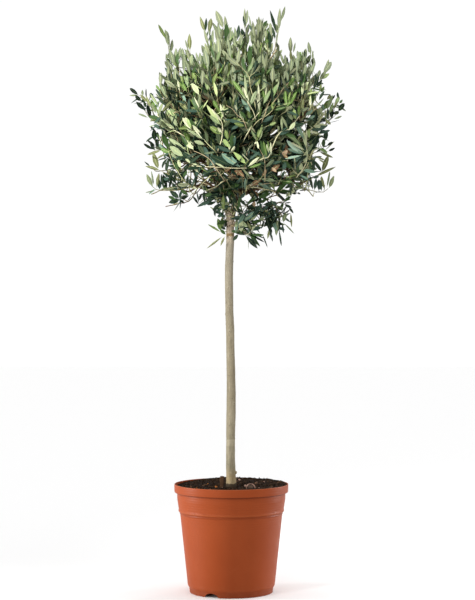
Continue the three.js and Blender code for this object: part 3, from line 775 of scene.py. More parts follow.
LEAF_U = np.array([0.0, 0.075, 0.26, 0.55, 0.84, 1.0])
LEAF_W = {"blunt": np.array([0.09, 0.13, 0.70, 1.01, 0.74, 0.07]), "pointed": np.array([0.08, 0.12, 0.72, 1.00, 0.54, 0.03])}
TOP_V = np.array([-1.0, -0.55, -0.09, 0.09, 0.55, 1.0])
LOW_V = np.array([-1.0, -0.12, 0.0, 0.12, 1.0])
ASPECT = 0.138  # half width against length


def leaf_kind(rng, outline):
    """A closed blade one unit long: a darker upper skin with a sunk pale midrib, and a paler lower skin with a raised one."""
    bend = rng.uniform(-0.30, 0.60)
    twist = rng.uniform(-0.40, 0.40)
    fold = rng.uniform(0.02, 0.34)
    sway = rng.uniform(-0.10, 0.10)
    roll = rng.uniform(0.0, 0.16)
    width = LEAF_W[outline] * (1 + 0.05 * rng.normal(size=len(LEAF_U)))
    rows = {"top": [], "low": []}
    pos = np.zeros(3)
    last = 0.0
    for u, w in zip(LEAF_U, width):
        ang = bend * (u - 0.15)
        pos = pos + np.array([math.cos(ang), 0, -math.sin(ang)]) * (u - last)
        last = u
        side = sway * math.sin(math.pi * u)
        tw = twist * (u - 0.2)
        body = min(1.0, 3.2 * u, 3.0 * (1.02 - u))
        for key, vs in (("top", TOP_V), ("low", LOW_V)):
            for v in vs:
                y = v * w * ASPECT
                z = fold * abs(v) ** 1.4 * w * ASPECT - roll * abs(v) ** 6 * w * ASPECT
                if abs(v) < 0.99:
                    z += (0.030 if key == "top" else -0.016) * ASPECT * 2.2 * body * (1 - v * v)
                    if key == "top" and abs(v) < 0.2:
                        z -= 0.034 * ASPECT * body
                    if key == "low" and abs(v) < 0.05:
                        z -= 0.11 * ASPECT * body * (1.1 - u)
                c, s = math.cos(tw), math.sin(tw)
                y, z = c * y - s * z, s * y + c * z
                t = np.array([math.sin(ang), 0, math.cos(ang)])
                rows[key].append(pos + np.array([0, y + side * ASPECT * 2, 0]) + t * z)
    top, low = np.array(rows["top"]), np.array(rows["low"])
    m, nt, nl = len(LEAF_U), len(TOP_V), len(LOW_V)
    tf, tm, lf, lm = [], [], [], []
    for k in range(m - 1):
        for c in range(nt - 1):
            tf.append([k * nt + c, (k + 1) * nt + c, (k + 1) * nt + c + 1, k * nt + c + 1])
            tm.append(2 if c == 2 else 0)
        for c in range(nl - 1):
            lf.append([m * nt + k * nl + c, m * nt + k * nl + c + 1, m * nt + (k + 1) * nl + c + 1, m * nt + (k + 1) * nl + c])
            lm.append(2 if c in (1, 2) else 1)
    return np.concatenate([top, low]), np.array(tf + lf), np.array(tm + lm)


rng = np.random.default_rng(SEED + 3)
LEAF_KINDS = [leaf_kind(rng, "blunt" if k < 10 else "pointed") for k in range(20)]
assert all(k[1][0][0] == 0 for k in LEAF_KINDS)

# upper and lower skins; each spray draws a tone, and each leaf a pair of skins from it
# the near-black top skin, the dim lower skin and the dim rib are shaded copies of the leaf's skins: painted shade
SKINS = {
    "top_black": ((0.0050, 0.0120, 0.0070), 0.45, 0.05),
    "top_dark": ((0.0120, 0.0280, 0.0150), 0.44, 0.08),
    "top_blue": ((0.0290, 0.0610, 0.0430), 0.42, 0.14),
    "top_deep": ((0.0310, 0.0680, 0.0170), 0.44, 0.12),
    "top_green": ((0.0820, 0.1500, 0.0290), 0.46, 0.14),
    "top_olive": ((0.1050, 0.1520, 0.0360), 0.48, 0.18),
    "top_sage": ((0.1480, 0.2060, 0.0900), 0.52, 0.18),
    "top_pale": ((0.3200, 0.3800, 0.1600), 0.55, 0.18),
    "top_lime": ((0.2500, 0.3400, 0.1150), 0.50, 0.18),
    # the teal top is the leaf's blue-grey, partly lightened by a painted sheen
    "top_teal": ((0.1020, 0.1800, 0.1280), 0.46, 0.24),
    "top_mist": ((0.3000, 0.4300, 0.3200), 0.52, 0.22),
    "top_silver": ((0.1300, 0.1560, 0.0900), 0.54, 0.16),
    "low_silver": ((0.1660, 0.1860, 0.1130), 0.76, 0.10),
    "low_shaded": ((0.0480, 0.0660, 0.0300), 0.75, 0.10),
    "low_olive": ((0.1350, 0.1480, 0.0600), 0.75, 0.10),
    "low_grey": ((0.1420, 0.1800, 0.0980), 0.75, 0.10),
    "low_sage": ((0.2260, 0.2700, 0.1460), 0.78, 0.10),
    "low_pale": ((0.3900, 0.4300, 0.2500), 0.80, 0.10),
    "low_cream": ((0.4950, 0.5100, 0.3250), 0.80, 0.10),
    "rib": ((0.3000, 0.3300, 0.1600), 0.65, 0.12),
    "rib_shaded": ((0.0560, 0.0760, 0.0330), 0.65, 0.10),
    "dead_brown": ((0.1750, 0.0980, 0.0520), 0.80, 0.08),
    "dead_tan": ((0.3000, 0.2000, 0.1300), 0.85, 0.06),
}
SKIN_NAMES = list(SKINS)
LEAF_MATS = [plain(f"leaf_{k}", c, r, s) for k, (c, r, s) in SKINS.items()]
TONES = {
    "sage": (["top_sage", "top_silver", "top_olive", "top_deep", "top_green"], [0.22, 0.26, 0.20, 0.25, 0.07], ["low_silver", "low_sage", "low_pale", "low_grey"], [0.40, 0.20, 0.13, 0.27]),
    "olive": (["top_deep", "top_green", "top_olive", "top_dark"], [0.36, 0.26, 0.20, 0.18], ["low_sage", "low_pale", "low_cream"], [0.42, 0.38, 0.20]),
    "bright": (["top_green", "top_deep", "top_pale"], [0.52, 0.26, 0.22], ["low_cream", "low_pale", "low_sage"], [0.42, 0.40, 0.18]),
    "deep": (["top_dark", "top_deep", "top_blue"], [0.36, 0.32, 0.32], ["low_sage", "low_grey", "low_pale", "low_shaded"], [0.32, 0.30, 0.16, 0.22]),
    # the dark and inner tones are painted shade, for sprays low in the crown and inside it
    "dark": (["top_black", "top_dark", "top_blue"], [0.36, 0.38, 0.26], ["low_grey", "low_shaded", "low_sage"], [0.26, 0.60, 0.14]),
    "inner": (["top_black", "top_dark"], [0.80, 0.20], ["low_shaded", "top_black"], [0.6, 0.4]),
    "pale": (["top_green", "top_pale", "top_deep"], [0.40, 0.34, 0.26], ["low_cream", "low_pale"], [0.68, 0.32]),
    "grey": (["top_deep", "top_sage", "top_blue"], [0.4, 0.3, 0.3], ["low_grey", "low_sage"], [0.7, 0.3]),
    "shade": (["top_dark", "top_blue", "top_teal", "top_black"], [0.32, 0.38, 0.22, 0.08], ["low_grey", "low_shaded", "low_sage"], [0.38, 0.32, 0.30]),
    "cool": (["top_deep", "top_blue", "top_teal", "top_dark"], [0.34, 0.26, 0.26, 0.14], ["low_sage", "low_grey", "low_pale"], [0.40, 0.36, 0.24]),
    "dead": (["dead_brown"], [1.0], ["dead_tan"], [1.0]),
}
HIGH_SKIN = {"low_sage": "low_silver", "top_sage": "top_silver", "low_pale": "low_silver", "top_pale": "top_silver", "top_lime": "top_sage", "low_grey": "top_silver", "top_teal": "top_silver"}  # greyer at the top
RIB_OF = {k: "rib_shaded" if k in ("dark", "inner", "deep", "dead", "shade", "cool") else "rib" for k in TONES}
TWIG_MATS = [plain("twig_brown", (0.095, 0.056, 0.029), 0.85, 0.12), plain("twig_tan", (0.360, 0.285, 0.165), 0.78, 0.12), plain("shoot_green", (0.400, 0.390, 0.200), 0.65, 0.14), plain("shoot_cream", (0.560, 0.530, 0.320), 0.65, 0.14), plain("shoot_olive", (0.170, 0.150, 0.065), 0.75, 0.10)]

# ------------------------------------------------------------------ the crown's shape

# left and right edge of the crown seen from the front, against height, without its longest sprays
LEFT = [(715, 20), (745, 8), (775, -10), (800, -40), (812, -96), (822, -124), (836, -142), (853, -150), (880, -158), (912, -160), (954, -160), (988, -166), (1022, -178), (1055, -164), (1089, -146), (1114, -132), (1140, -114), (1160, -100), (1176, -78), (1200, -56), (1222, -20)]
RIGHT = [(715, 70), (745, 104), (775, 118), (795, 121), (815, 121), (822, 126), (836, 146), (853, 170), (880, 186), (912, 190), (954, 192), (988, 196), (1022, 200), (1055, 188), (1089, 178), (1114, 180), (1140, 156), (1160, 126), (1176, 98), (1200, 96), (1222, 60)]
FOCUS = np.array([4.0, 0.0, 872.0])


def outline(z):
    left, right = table(LEFT, z), table(RIGHT, z)
    return (left + right) / 2, (right - left) / 2


def edge_radius(z, az):
    """Distance from the crown's middle line to its edge at a height and azimuth."""
    mid, half = outline(z)
    depth = half * 0.96 + 6 * np.sin(3 * az + z / 60) + 5 * np.sin(2 * az - z / 45)
    if z < 835:
        depth = min(depth, 62 + 0.4 * (z - 720))
    return mid, 1 / math.hypot(math.cos(az) / half, math.sin(az) / max(depth, 20))


rng = np.random.default_rng(SEED + 4)
shoots = []  # dicts: tip, dir at tip, bend, length, pairs, leaf, tone


def add_spray(tip, direction, start_direction, length, pairs, leaf, tone, hero=False, star=False):
    """A leafy shoot that ends at tip: its line from base to tip turns from start_direction to direction."""
    stem = max(length - 0.72 * leaf, 18.0)
    n = 9
    s = np.linspace(0, 1, n)
    d = unit((1 - s)[:, None] * unit(start_direction) + s[:, None] * unit(direction))
    steps = d * stem / (n - 1)
    line = np.concatenate([[np.zeros(3)], np.cumsum(0.5 * (steps[1:] + steps[:-1]), axis=0)])
    end = np.asarray(tip, float) - unit(direction) * 0.72 * leaf
    line = line - line[-1] + end
    shoots.append({"line": line, "pairs": pairs, "leaf": leaf, "tone": tone, "hero": hero, "star": star})


# longest sprays seen at the crown's edge: tip x, y, z, angle at the tip seen from the front, turn from base to tip,
# length, pairs of leaves, leaf length, tone
SPRAYS = [
    (62, 6, 1208, 94, 0, 104, 4, 40, 'sage'), (0, -40, 1181, 72, 10, 92, 4, 36, 'sage'), (45, -25, 1199, 97, 0, 112, 5, 40, 'sage'),
    (73, 20, 1204, 76, 8, 110, 5, 42, 'bright'), (99, -15, 1128, 82, 20, 84, 4, 34, 'sage'), (143, 10, 1141, 100, 0, 76, 4, 34, 'sage'),
    (155, -10, 1140, 84, -12, 80, 4, 36, 'sage'), (174, 0, 1125, 80, -18, 82, 4, 36, 'sage'), (-156, 0, 1093, 110, 20, 92, 5, 38, 'sage'),
    (-157, -8, 1063, 122, 14, 84, 4, 34, 'bright'), (-138, 5, 1131, 105, 20, 84, 4, 38, 'sage'), (121, -12, 800, 322, 40, 54, 3, 34, 'dark'),
]
for x, y, z, a, turn, length, pairs, leaf, tone in SPRAYS:
    at, at0 = math.radians(a), math.radians(a + turn)
    lean = 0.12 * rng.normal()
    add_spray((x, y, z), (math.cos(at), lean, math.sin(at)), (math.cos(at0), 0.1 * rng.normal(), math.sin(at0)), length, pairs, leaf, tone, True)


TONE_BY_Z = {
    "sage": [(860, 0.02), (960, 0.08), (1040, 0.28), (1090, 0.56), (1140, 0.72)], "olive": [(860, 0.14), (960, 0.28), (1040, 0.28), (1100, 0.20), (1150, 0.16)],
    "bright": [(860, 0.05), (960, 0.14), (1040, 0.15), (1100, 0.06), (1150, 0.01)], "pale": [(860, 0.05), (960, 0.10), (1040, 0.10), (1100, 0.03), (1150, 0.0)],
    "deep": [(860, 0.36), (960, 0.26), (1040, 0.15), (1100, 0.08), (1150, 0.05)], "dark": [(860, 0.38), (960, 0.27), (1040, 0.13), (1100, 0.04), (1150, 0.0)],
}


def pick_tone(z, q, az):
    """Tone of a spray from where it is: silvery at the top, mixed green and cream in the middle, dark low down and
    inside, where the dark tones are painted shade.
    """
    if q < 0.62:
        w = {"inner": 0.60, "dark": 0.40}
    elif q < 0.84 and z < 1085:
        w = {"inner": 0.30, "dark": 0.46, "deep": 0.24}
    else:
        w = {k: float(table(v, z)) for k, v in TONE_BY_Z.items()}
    k = list(w)
    p = np.array([w[i] for i in k])
    return str(rng.choice(k, p=p / p.sum()))


# how steeply a spray's tip stands, in degrees, against height
RISE = [(720, -62), (780, -45), (815, -18), (845, 8), (880, 26), (930, 40), (1000, 50), (1060, 58), (1120, 70), (1180, 82)]


def fill_crown(count, inner, tries):
    """Seeded sprays through the crown, spread apart: most near its edge, the inner ones short, with dark tones that
    paint the shade inside the crown.
    """
    tips = [s["line"][-1] for s in shoots]
    zs = np.linspace(856, 1152, 200)
    area = np.array([edge_radius(z, 0.0)[1] * edge_radius(z, math.pi / 2)[1] ** 0.35 for z in zs])
    area = area * table([(856, 0.30), (885, 0.62), (930, 0.95), (960, 1.0), (1120, 1.15), (1152, 1.0)], zs)
    if inner:
        area = area * (zs > 880) * (zs < 1120)
    area = area / area.sum()
    for _ in range(count):
        best, score = None, -1
        for _ in range(tries):
            z = float(rng.choice(zs, p=area) + rng.uniform(-1.5, 1.5))
            az = rng.random() * 2 * math.pi
            q = 0.12 + 0.52 * rng.random() if inner else min(1 - 0.36 * rng.random() ** 1.4, 0.985)
            mid, edge = edge_radius(z, az)
            if math.sin(az) < -0.30 and z < 1090:
                q = min(q, 0.80 + 0.12 * (1 + math.sin(az)))
            p = np.array([mid + q * edge * math.cos(az), q * edge * math.sin(az), z])
            if z > 1118 and (88 < p[0] < 124 or -98 < p[0] < -62) and abs(p[1]) < 110:
                continue
            near = np.min(np.linalg.norm(np.array(tips) - p, axis=1))
            if near > score:
                best, score = (p, z, az, q), near
        if best is None:
            continue
        p, z, az, q = best
        az = az + math.radians(24) * rng.normal()
        steep = float(table(RISE, z)) + 11 * rng.normal() + (1 - q) * 16
        if z < 900 and rng.random() < 0.35:
            steep -= rng.uniform(20, 60)
        curl = rng.uniform(6, 42) if z > 850 else rng.uniform(-10, 40)

        def heading(deg, turn):
            e = math.radians(min(deg, 88))
            return np.array([math.cos(e) * math.cos(az + turn), math.cos(e) * math.sin(az + turn), math.sin(e)])

        length = rng.uniform(50, 72) if inner else rng.uniform(60, 116)
        leaf = float(np.clip(rng.normal(36 if inner else 32.5, 5.0), 22, 46))
        pairs = int(np.clip(round(length / (14.5 if inner else 12.4) + rng.normal() * 0.6), 3, 9))
        add_spray(p, heading(steep, 0), heading(steep - curl, 0.35 * rng.normal()), length, pairs, leaf, "inner" if inner else pick_tone(z, q, az))
        tips.append(p)


# sprays that stand out on the near side: x and z where they are seen from the front, the rest as above
NEAR = [
    (111, 938, 166, -30, 62, 3, 46, 'deep'), (-30, 925, 152, -24, 70, 3, 48, 'deep'), (157, 934, 97, -20, 86, 5, 36, 'sage'),
    (-60, 1104, 96, 12, 84, 5, 36, 'sage'), (-18, 1044, 100, 16, 84, 5, 36, 'olive'), (31, 1013, 96, 0, 78, 4, 36, 'sage'),
    (-76, 1048, 106, 14, 84, 5, 34, 'olive'), (-36, 1084, 96, 8, 88, 5, 38, 'sage'), (2, 1098, 92, 4, 88, 5, 40, 'sage'),
    (40, 1092, 88, 0, 84, 5, 36, 'deep'), (82, 1092, 84, -6, 88, 5, 40, 'sage'), (120, 1092, 76, -8, 88, 5, 38, 'sage'),
    (186, 1016, 64, -18, 84, 4, 36, 'olive'), (-150, 950, 140, 10, 80, 4, 36, 'deep'), (-120, 912, 150, -6, 78, 4, 36, 'olive'),
    (-70, 900, 130, 14, 74, 4, 38, 'olive'), (90, 880, 20, 24, 70, 3, 42, 'deep'), (140, 886, 40, 10, 76, 4, 38, 'dark'),
    (-20, 972, 92, 18, 74, 4, 36, 'dark'), (40, 962, 70, -6, 70, 4, 36, 'dark'), (96, 978, 60, -14, 76, 4, 36, 'dark'),
    (-66, 968, 104, 12, 76, 4, 36, 'deep'), (-2, 884, 200, -30, 60, 3, 40, 'dark'), (50, 870, 330, 30, 62, 3, 42, 'deep'),
    (-46, 862, 230, -30, 62, 3, 38, 'dark'),
]
for x, z, a, turn, length, pairs, leaf, tone in NEAR:
    mid, half = outline(z)
    y = -(0.90 if z > 1085 else 0.78) * float(half) * 0.96 * math.sqrt(max(1 - ((x - float(mid)) / float(half)) ** 2, 0.03))
    shrink = 1 + y / 3550
    at, at0 = math.radians(a), math.radians(a + turn)
    toward = 0.35 + 0.15 * rng.normal()
    add_spray((13 + (x - 13) * shrink, y, 613 + (z - 613) * shrink), (math.cos(at), -toward, math.sin(at)), (math.cos(at0), -toward - 0.2, math.sin(at0)), length, pairs, 0.88 * leaf, tone, True)

# shoots and single leaves that stand out on the near side, at the places where they are seen from the front: how near the
# crown's skin, the stem's x and z from its foot to its tip, its radius and material, and its leaves (x and z of the
# stalk's end and of the tip, width, and the skin that faces the viewer)
PORTRAIT = [
    (0.95, [(-150, 981), (-161, 989), (-172, 997), (-183, 1013)], 1.09, 1, [(-183, 1013, -199, 1029, 10.5, 'top_black'), (-170, 996, -176, 1022, 7.4, 'top_black'), (-175, 997, -194, 1005, 3.2, 'low_grey'), (-171, 989, -159, 999, 6.3, 'low_olive'), (-179, 1018, -184, 1031, 5.3, 'top_dark')]),
    (0.95, [(-171, 1022), (-180, 1028), (-188, 1032)], 0.84, 1, [(-189, 1032, -201, 1043, 6.3, 'top_black'), (-177, 1030, -190, 1045, 6.3, 'low_olive'), (-186, 1043, -187, 1055, 4.2, 'low_grey'), (-163, 1035, -172, 1051, 6.3, 'top_dark')]),
    (0.95, [(-182, 1038), (-189, 1042), (-196, 1045)], 0.67, 1, [(-196, 1045, -212, 1058, 6.3, 'top_black'), (-197, 1045, -213, 1044, 3.2, 'low_grey')]),
    (1.0, [(-100, 959), (-119, 970), (-133, 979), (-145, 990), (-156, 1003)], 1.68, 3, [(-156, 1010, -170, 1034, 8.4, 'top_green'), (-158, 1006, -168, 1025, 6.3, 'low_sage'), (-155, 1018, -156, 1030, 5.3, 'top_teal'), (-155, 1003, -148, 1025, 7.4, 'low_sage'), (-129, 970, -159, 989, 7.4, 'low_sage'), (-114, 969, -142, 991, 6.3, 'low_sage'), (-150, 972, -165, 985, 7.4, 'top_blue')]),
    (0.98, [(-116, 1009), (-135, 1001), (-149, 1004)], 0.84, 1, [(-149, 1004, -128, 1030, 7.4, 'low_olive')]),
    (1.0, [(-36, 929), (-47, 939), (-56, 949)], 1.68, 2, [(-56, 950, -80, 978, 6.9, 'low_cream'), (-59, 951, -93, 973, 5.3, 'low_sage'), (-55, 950, -68, 966, 4.2, 'top_black'), (-56, 940, -76, 947, 7.4, 'low_sage')]),
    (1.0, [(-26, 935), (-20, 952), (-19, 969), (-19, 984), (-25, 998)], 1.68, 3, [(-23, 984, -51, 1020, 7.7, 'top_pale'), (-20, 988, -40, 1014, 4.8, 'low_cream'), (-16, 1001, -23, 1024, 6.0, 'low_cream'), (-20, 965, -28, 977, 5.2, 'low_cream'), (-22, 982, -44, 1000, 7.4, 'top_sage'), (-21, 962, -43, 977, 10.5, 'top_olive'), (-27, 1014, -37, 1032, 7.4, 'top_green')]),
    (0.92, [(-112, 923), (-125, 927), (-142, 931), (-161, 930)], 1.09, 2, [(-160, 938, -175, 948, 4.6, 'top_black'), (-163, 930, -183, 941, 4.6, 'top_black'), (-155, 933, -156, 952, 6.3, 'top_dark'), (-124, 923, -144, 930, 8.4, 'top_green'), (-142, 929, -152, 940, 6.3, 'top_teal')]),
    (0.9, [(-116, 923), (-129, 925), (-148, 929), (-165, 926)], 0.76, 1, [(-165, 926, -155, 894, 8.4, 'low_olive'), (-148, 928, -173, 920, 4.2, 'low_olive')]),
    (0.9, [(-112, 868), (-125, 874), (-137, 880), (-150, 886)], 1.01, 1, [(-150, 886, -177, 895, 5.3, 'low_olive')]),
    (0.9, [(-116, 929), (-125, 923), (-132, 914)], 0.92, 1, [(-133, 912, -150, 892, 5.9, 'top_dark'), (-132, 912, -137, 887, 6.3, 'top_dark'), (-133, 913, -154, 907, 3.4, 'top_dark'), (-130, 923, -144, 915, 5.3, 'top_blue'), (-137, 921, -155, 913, 3.4, 'low_olive')]),
    (1.0, [(-87, 855), (-100, 865), (-112, 883), (-122, 900), (-129, 917), (-133, 927)], 1.26, 2, [(-111, 885, -117, 902, 6.3, 'top_deep'), (-107, 891, -111, 907, 9.7, 'low_pale'), (-115, 911, -125, 922, 7.4, 'low_sage')]),
    (1.0, [(-20, 873), (-31, 888), (-45, 909), (-62, 920), (-79, 927)], 1.6, 1, [(-48, 895, -50, 911, 6.3, 'low_olive'), (-80, 930, -96, 949, 12.6, 'low_pale')]),
    (0.98, [(31, 959), (40, 975), (44, 992), (50, 998), (59, 1009)], 1.85, 3, [(59, 1008, 56, 1063, 6.2, 'low_cream'), (58, 1022, 51, 1039, 4.1, 'low_cream'), (67, 1024, 81, 1055, 7.4, 'top_sage')]),
    (1.0, [(50, 998), (46, 1011), (39, 1022), (34, 1032)], 1.26, 3, [(38, 1025, 27, 1057, 4.5, 'low_cream'), (33, 1041, 29, 1081, 5.1, 'low_sage'), (40, 1008, 23, 1034, 8.4, 'top_teal'), (29, 1041, 4, 1075, 7.4, 'top_green'), (33, 1032, 10, 1064, 3.8, 'low_sage')]),
    (0.97, [(65, 990), (70, 1003), (75, 1018), (81, 1032), (91, 1046)], 1.09, 1, [(84, 1037, 94, 1064, 9.5, 'top_green'), (93, 1051, 99, 1072, 5.3, 'low_sage'), (87, 1013, 88, 1029, 6.3, 'top_olive'), (71, 1032, 66, 1053, 6.3, 'top_green'), (72, 1037, 74, 1059, 3.5, 'low_cream')]),
    (0.98, [(50, 984), (58, 992), (70, 999), (86, 1012), (94, 1026)], 1.34, 2, [(65, 989, 87, 995, 5.3, 'top_blue')]),
    (1.0, [(86, 1026), (99, 1043), (108, 1057), (121, 1071)], 1.26, 1, [(98, 1041, 100, 1022, 4.2, 'low_sage'), (119, 1073, 117, 1095, 6.8, 'top_pale')]),
    (1.0, [(50, 1024), (46, 1041), (40, 1062), (38, 1083), (25, 1099), (11, 1114)], 0.92, 2, []),
    (1.0, [(39, 1072), (38, 1083), (48, 1091), (59, 1107)], 0.76, 2, []),
    (0.98, [(31, 978), (25, 992), (10, 1005), (3, 1015), (-11, 1023)], 1.09, 1, [(13, 1013, 7, 1023, 4.3, 'low_cream'), (31, 995, 20, 1009, 6.3, 'top_deep')]),
    (0.98, [(48, 969), (39, 979), (32, 987), (16, 990)], 1.01, 2, [(27, 985, -11, 994, 7.4, 'top_blue')]),
    (1.0, [(109, 1007), (116, 1011), (118, 1020)], 1.26, 2, [(118, 1020, 112, 1053, 7.4, 'top_green'), (118, 1020, 136, 1051, 9.5, 'top_green'), (120, 1032, 124, 1050, 4.2, 'top_olive')]),
    (1.0, [(88, 939), (96, 957), (105, 968), (119, 971), (131, 985), (144, 1001)], 1.51, 3, [(136, 993, 132, 1012, 7.4, 'top_lime'), (141, 1001, 143, 1021, 6.3, 'top_green'), (121, 971, 133, 986, 7.7, 'low_pale'), (129, 990, 118, 1012, 8.4, 'low_sage'), (119, 973, 106, 999, 4.8, 'low_sage'), (107, 969, 105, 994, 4.8, 'low_sage')]),
    (0.95, [(145, 957), (161, 968), (180, 985), (191, 998), (201, 1012)], 1.68, 2, [(195, 1013, 204, 1032, 9.5, 'top_green'), (191, 1001, 185, 1021, 8.4, 'low_sage'), (187, 999, 170, 1020, 7.4, 'low_olive'), (195, 1011, 192, 1026, 4.2, 'top_teal'), (197, 995, 208, 984, 5.3, 'low_olive'), (178, 972, 202, 981, 7.4, 'top_blue'), (201, 1013, 212, 1042, 6.3, 'top_sage')]),
    (0.93, [(183, 975), (197, 983), (210, 994), (225, 1008)], 1.09, 1, [(225, 1010, 237, 1026, 10.5, 'top_black'), (211, 994, 213, 1015, 7.4, 'top_black'), (216, 994, 231, 1000, 3.2, 'low_grey'), (218, 1022, 227, 1041, 6.3, 'top_sage')]),
    (0.95, [(199, 1026), (212, 1028), (225, 1027)], 0.67, 1, [(227, 1027, 234, 1035, 5.3, 'top_deep'), (225, 1038, 224, 1050, 5.3, 'top_dark'), (201, 1035, 209, 1045, 7.4, 'low_olive')]),
    (0.95, [(161, 1055), (174, 1068), (188, 1079)], 1.01, 2, [(194, 1089, 210, 1114, 9.5, 'top_sage'), (195, 1091, 206, 1118, 5.3, 'low_sage'), (188, 1079, 205, 1089, 9.5, 'top_olive'), (183, 1081, 186, 1096, 6.3, 'top_sage'), (173, 1055, 184, 1079, 6.3, 'top_black'), (185, 1075, 198, 1095, 7.6, 'top_sage'), (179, 1060, 190, 1076, 5.9, 'top_black')]),
    (0.97, [(164, 1013), (174, 1032), (184, 1049)], 1.01, 2, [(185, 1050, 189, 1067, 5.8, 'top_pale'), (188, 1050, 195, 1062, 6.3, 'top_green'), (184, 1033, 195, 1053, 5.3, 'top_dark'), (177, 1018, 193, 1035, 3.8, 'low_grey')]),
    (1.0, [(143, 879), (151, 889), (159, 908), (159, 933), (158, 954)], 1.6, 3, [(157, 934, 152, 967, 6.8, 'low_pale'), (159, 946, 158, 970, 2.8, 'low_cream'), (164, 954, 163, 971, 6.3, 'top_lime'), (154, 901, 159, 926, 9.7, 'low_pale')]),
    (1.0, [(166, 906), (157, 917), (151, 925)], 1.18, 2, [(151, 932, 119, 966, 8.4, 'top_sage'), (151, 924, 115, 945, 11.6, 'top_mist'), (155, 928, 130, 942, 3.1, 'low_cream'), (152, 921, 121, 931, 7.4, 'top_teal'), (149, 918, 116, 911, 5.1, 'top_mist'), (154, 950, 137, 987, 7.4, 'top_teal')]),
    (0.92, [(153, 904), (164, 914), (172, 925), (180, 932), (191, 937)], 1.18, 2, [(194, 933, 195, 951, 6.3, 'top_deep'), (201, 938, 213, 945, 4.6, 'top_black'), (193, 935, 202, 938, 2.1, 'top_black'), (199, 948, 200, 968, 10.5, 'top_dark'), (173, 933, 181, 958, 11.6, 'top_dark')]),
    (0.9, [(157, 917), (174, 923), (191, 926), (204, 926)], 0.76, 1, [(204, 927, 217, 933, 4.6, 'top_black'), (205, 920, 193, 888, 8.4, 'low_olive'), (185, 926, 211, 914, 4.2, 'low_olive')]),
    (0.9, [(147, 858), (161, 864), (176, 873)], 0.92, 1, [(176, 873, 216, 892, 5.3, 'low_olive')]),
    (0.9, [(157, 917), (166, 914), (171, 911)], 0.92, 1, [(171, 911, 176, 885, 6.3, 'top_dark'), (172, 910, 188, 887, 5.9, 'top_dark'), (168, 914, 186, 912, 4.2, 'top_blue'), (176, 917, 195, 909, 3.2, 'low_olive'), (183, 910, 197, 902, 2.9, 'low_olive')]),
    (1.0, [(172, 929), (167, 919), (161, 898), (151, 885), (140, 877), (135, 885), (134, 902), (133, 912)], 1.09, 2, [(148, 902, 147, 886, 13.6, 'low_pale')]),
    (0.9, [(-83, 853), (-104, 846), (-119, 844), (-134, 844), (-150, 844), (-162, 848), (-168, 854)], 1.18, 1, [(-165, 852, -177, 876, 7.8, 'low_sage'), (-163, 855, -168, 883, 3.2, 'low_grey'), (-157, 850, -153, 877, 6.3, 'low_olive'), (-151, 846, -152, 866, 9.5, 'top_blue'), (-143, 848, -145, 877, 8.4, 'top_dark'), (-159, 844, -179, 839, 1.9, 'low_grey'), (-135, 847, -141, 874, 6.3, 'top_dark')]),
    (0.95, [(-87, 853), (-97, 841), (-108, 827)], 1.01, 1, [(-108, 825, -128, 819, 10.1, 'top_dark'), (-110, 827, -128, 842, 8.8, 'top_dark'), (-110, 825, -99, 818, 10.9, 'top_black'), (-107, 826, -93, 832, 6.7, 'top_dark'), (-109, 828, -105, 842, 6.7, 'top_blue'), (-116, 824, -131, 831, 5.5, 'top_deep')]),
    (1.0, [(-45, 874), (-53, 866), (-62, 857), (-72, 846), (-87, 833)], 1.26, 2, [(-90, 834, -106, 845, 7.4, 'top_deep'), (-84, 833, -92, 822, 1.7, 'top_black')]),
    (0.98, [(-41, 845), (-53, 830), (-67, 817)], 0.84, 1, [(-68, 814, -83, 832, 5.5, 'top_dark'), (-68, 817, -72, 841, 4.2, 'top_blue'), (-41, 825, -69, 811, 7.4, 'top_blue'), (-62, 838, -67, 825, 6.3, 'top_black')]),
    (1.0, [(-20, 862), (-32, 852), (-45, 847), (-54, 842)], 1.26, 3, [(-33, 847, -31, 860, 7.4, 'top_teal'), (-56, 820, -59, 839, 6.3, 'top_dark'), (-39, 839, -55, 832, 7.4, 'top_deep')]),
    (1.0, [(-72, 895), (-55, 894), (-31, 893), (1, 891), (33, 891)], 1.26, 3, [(18, 894, -17, 919, 13.7, 'top_teal'), (-5, 898, -42, 915, 13.7, 'top_dark'), (32, 899, 7, 923, 9.5, 'top_lime'), (38, 906, 23, 921, 2.4, 'low_cream'), (35, 894, 56, 912, 6.0, 'low_cream'), (36, 891, 61, 899, 4.8, 'top_green'), (-13, 892, -32, 901, 3.9, 'low_pale')]),
    (0.98, [(71, 874), (71, 891), (69, 912), (63, 925), (56, 937)], 1.18, 1, [(55, 948, 57, 933, 4.0, 'low_cream'), (54, 948, 61, 981, 8.8, 'top_olive'), (53, 949, 42, 970, 5.1, 'top_sage'), (57, 948, 66, 967, 3.4, 'low_sage'), (55, 947, 49, 942, 3.8, 'low_cream')]),
    (0.99, [(60, 908), (69, 912), (77, 913), (82, 922)], 1.6, 3, [(70, 913, 63, 946, 6.9, 'top_deep'), (75, 913, 68, 945, 6.3, 'top_green'), (79, 923, 75, 942, 5.8, 'low_pale'), (79, 931, 76, 947, 4.2, 'top_green'), (84, 919, 83, 944, 3.1, 'low_cream')]),
    (1.0, [(48, 851), (60, 849), (73, 846), (84, 844), (93, 839)], 1.6, 3, [(81, 848, 59, 886, 10.5, 'top_blue'), (83, 846, 63, 858, 7.4, 'top_teal'), (92, 844, 80, 866, 6.3, 'top_olive'), (94, 842, 120, 865, 9.5, 'top_deep'), (94, 841, 124, 843, 8.0, 'top_deep'), (94, 839, 112, 822, 5.9, 'top_black'), (86, 840, 60, 829, 8.4, 'top_deep')]),
    (0.98, [(98, 832), (105, 826), (110, 819)], 0.84, 1, [(109, 819, 124, 830, 6.3, 'top_deep'), (110, 819, 105, 805, 6.3, 'top_deep'), (112, 818, 125, 818, 3.2, 'top_black'), (113, 839, 123, 828, 2.5, 'low_grey')]),
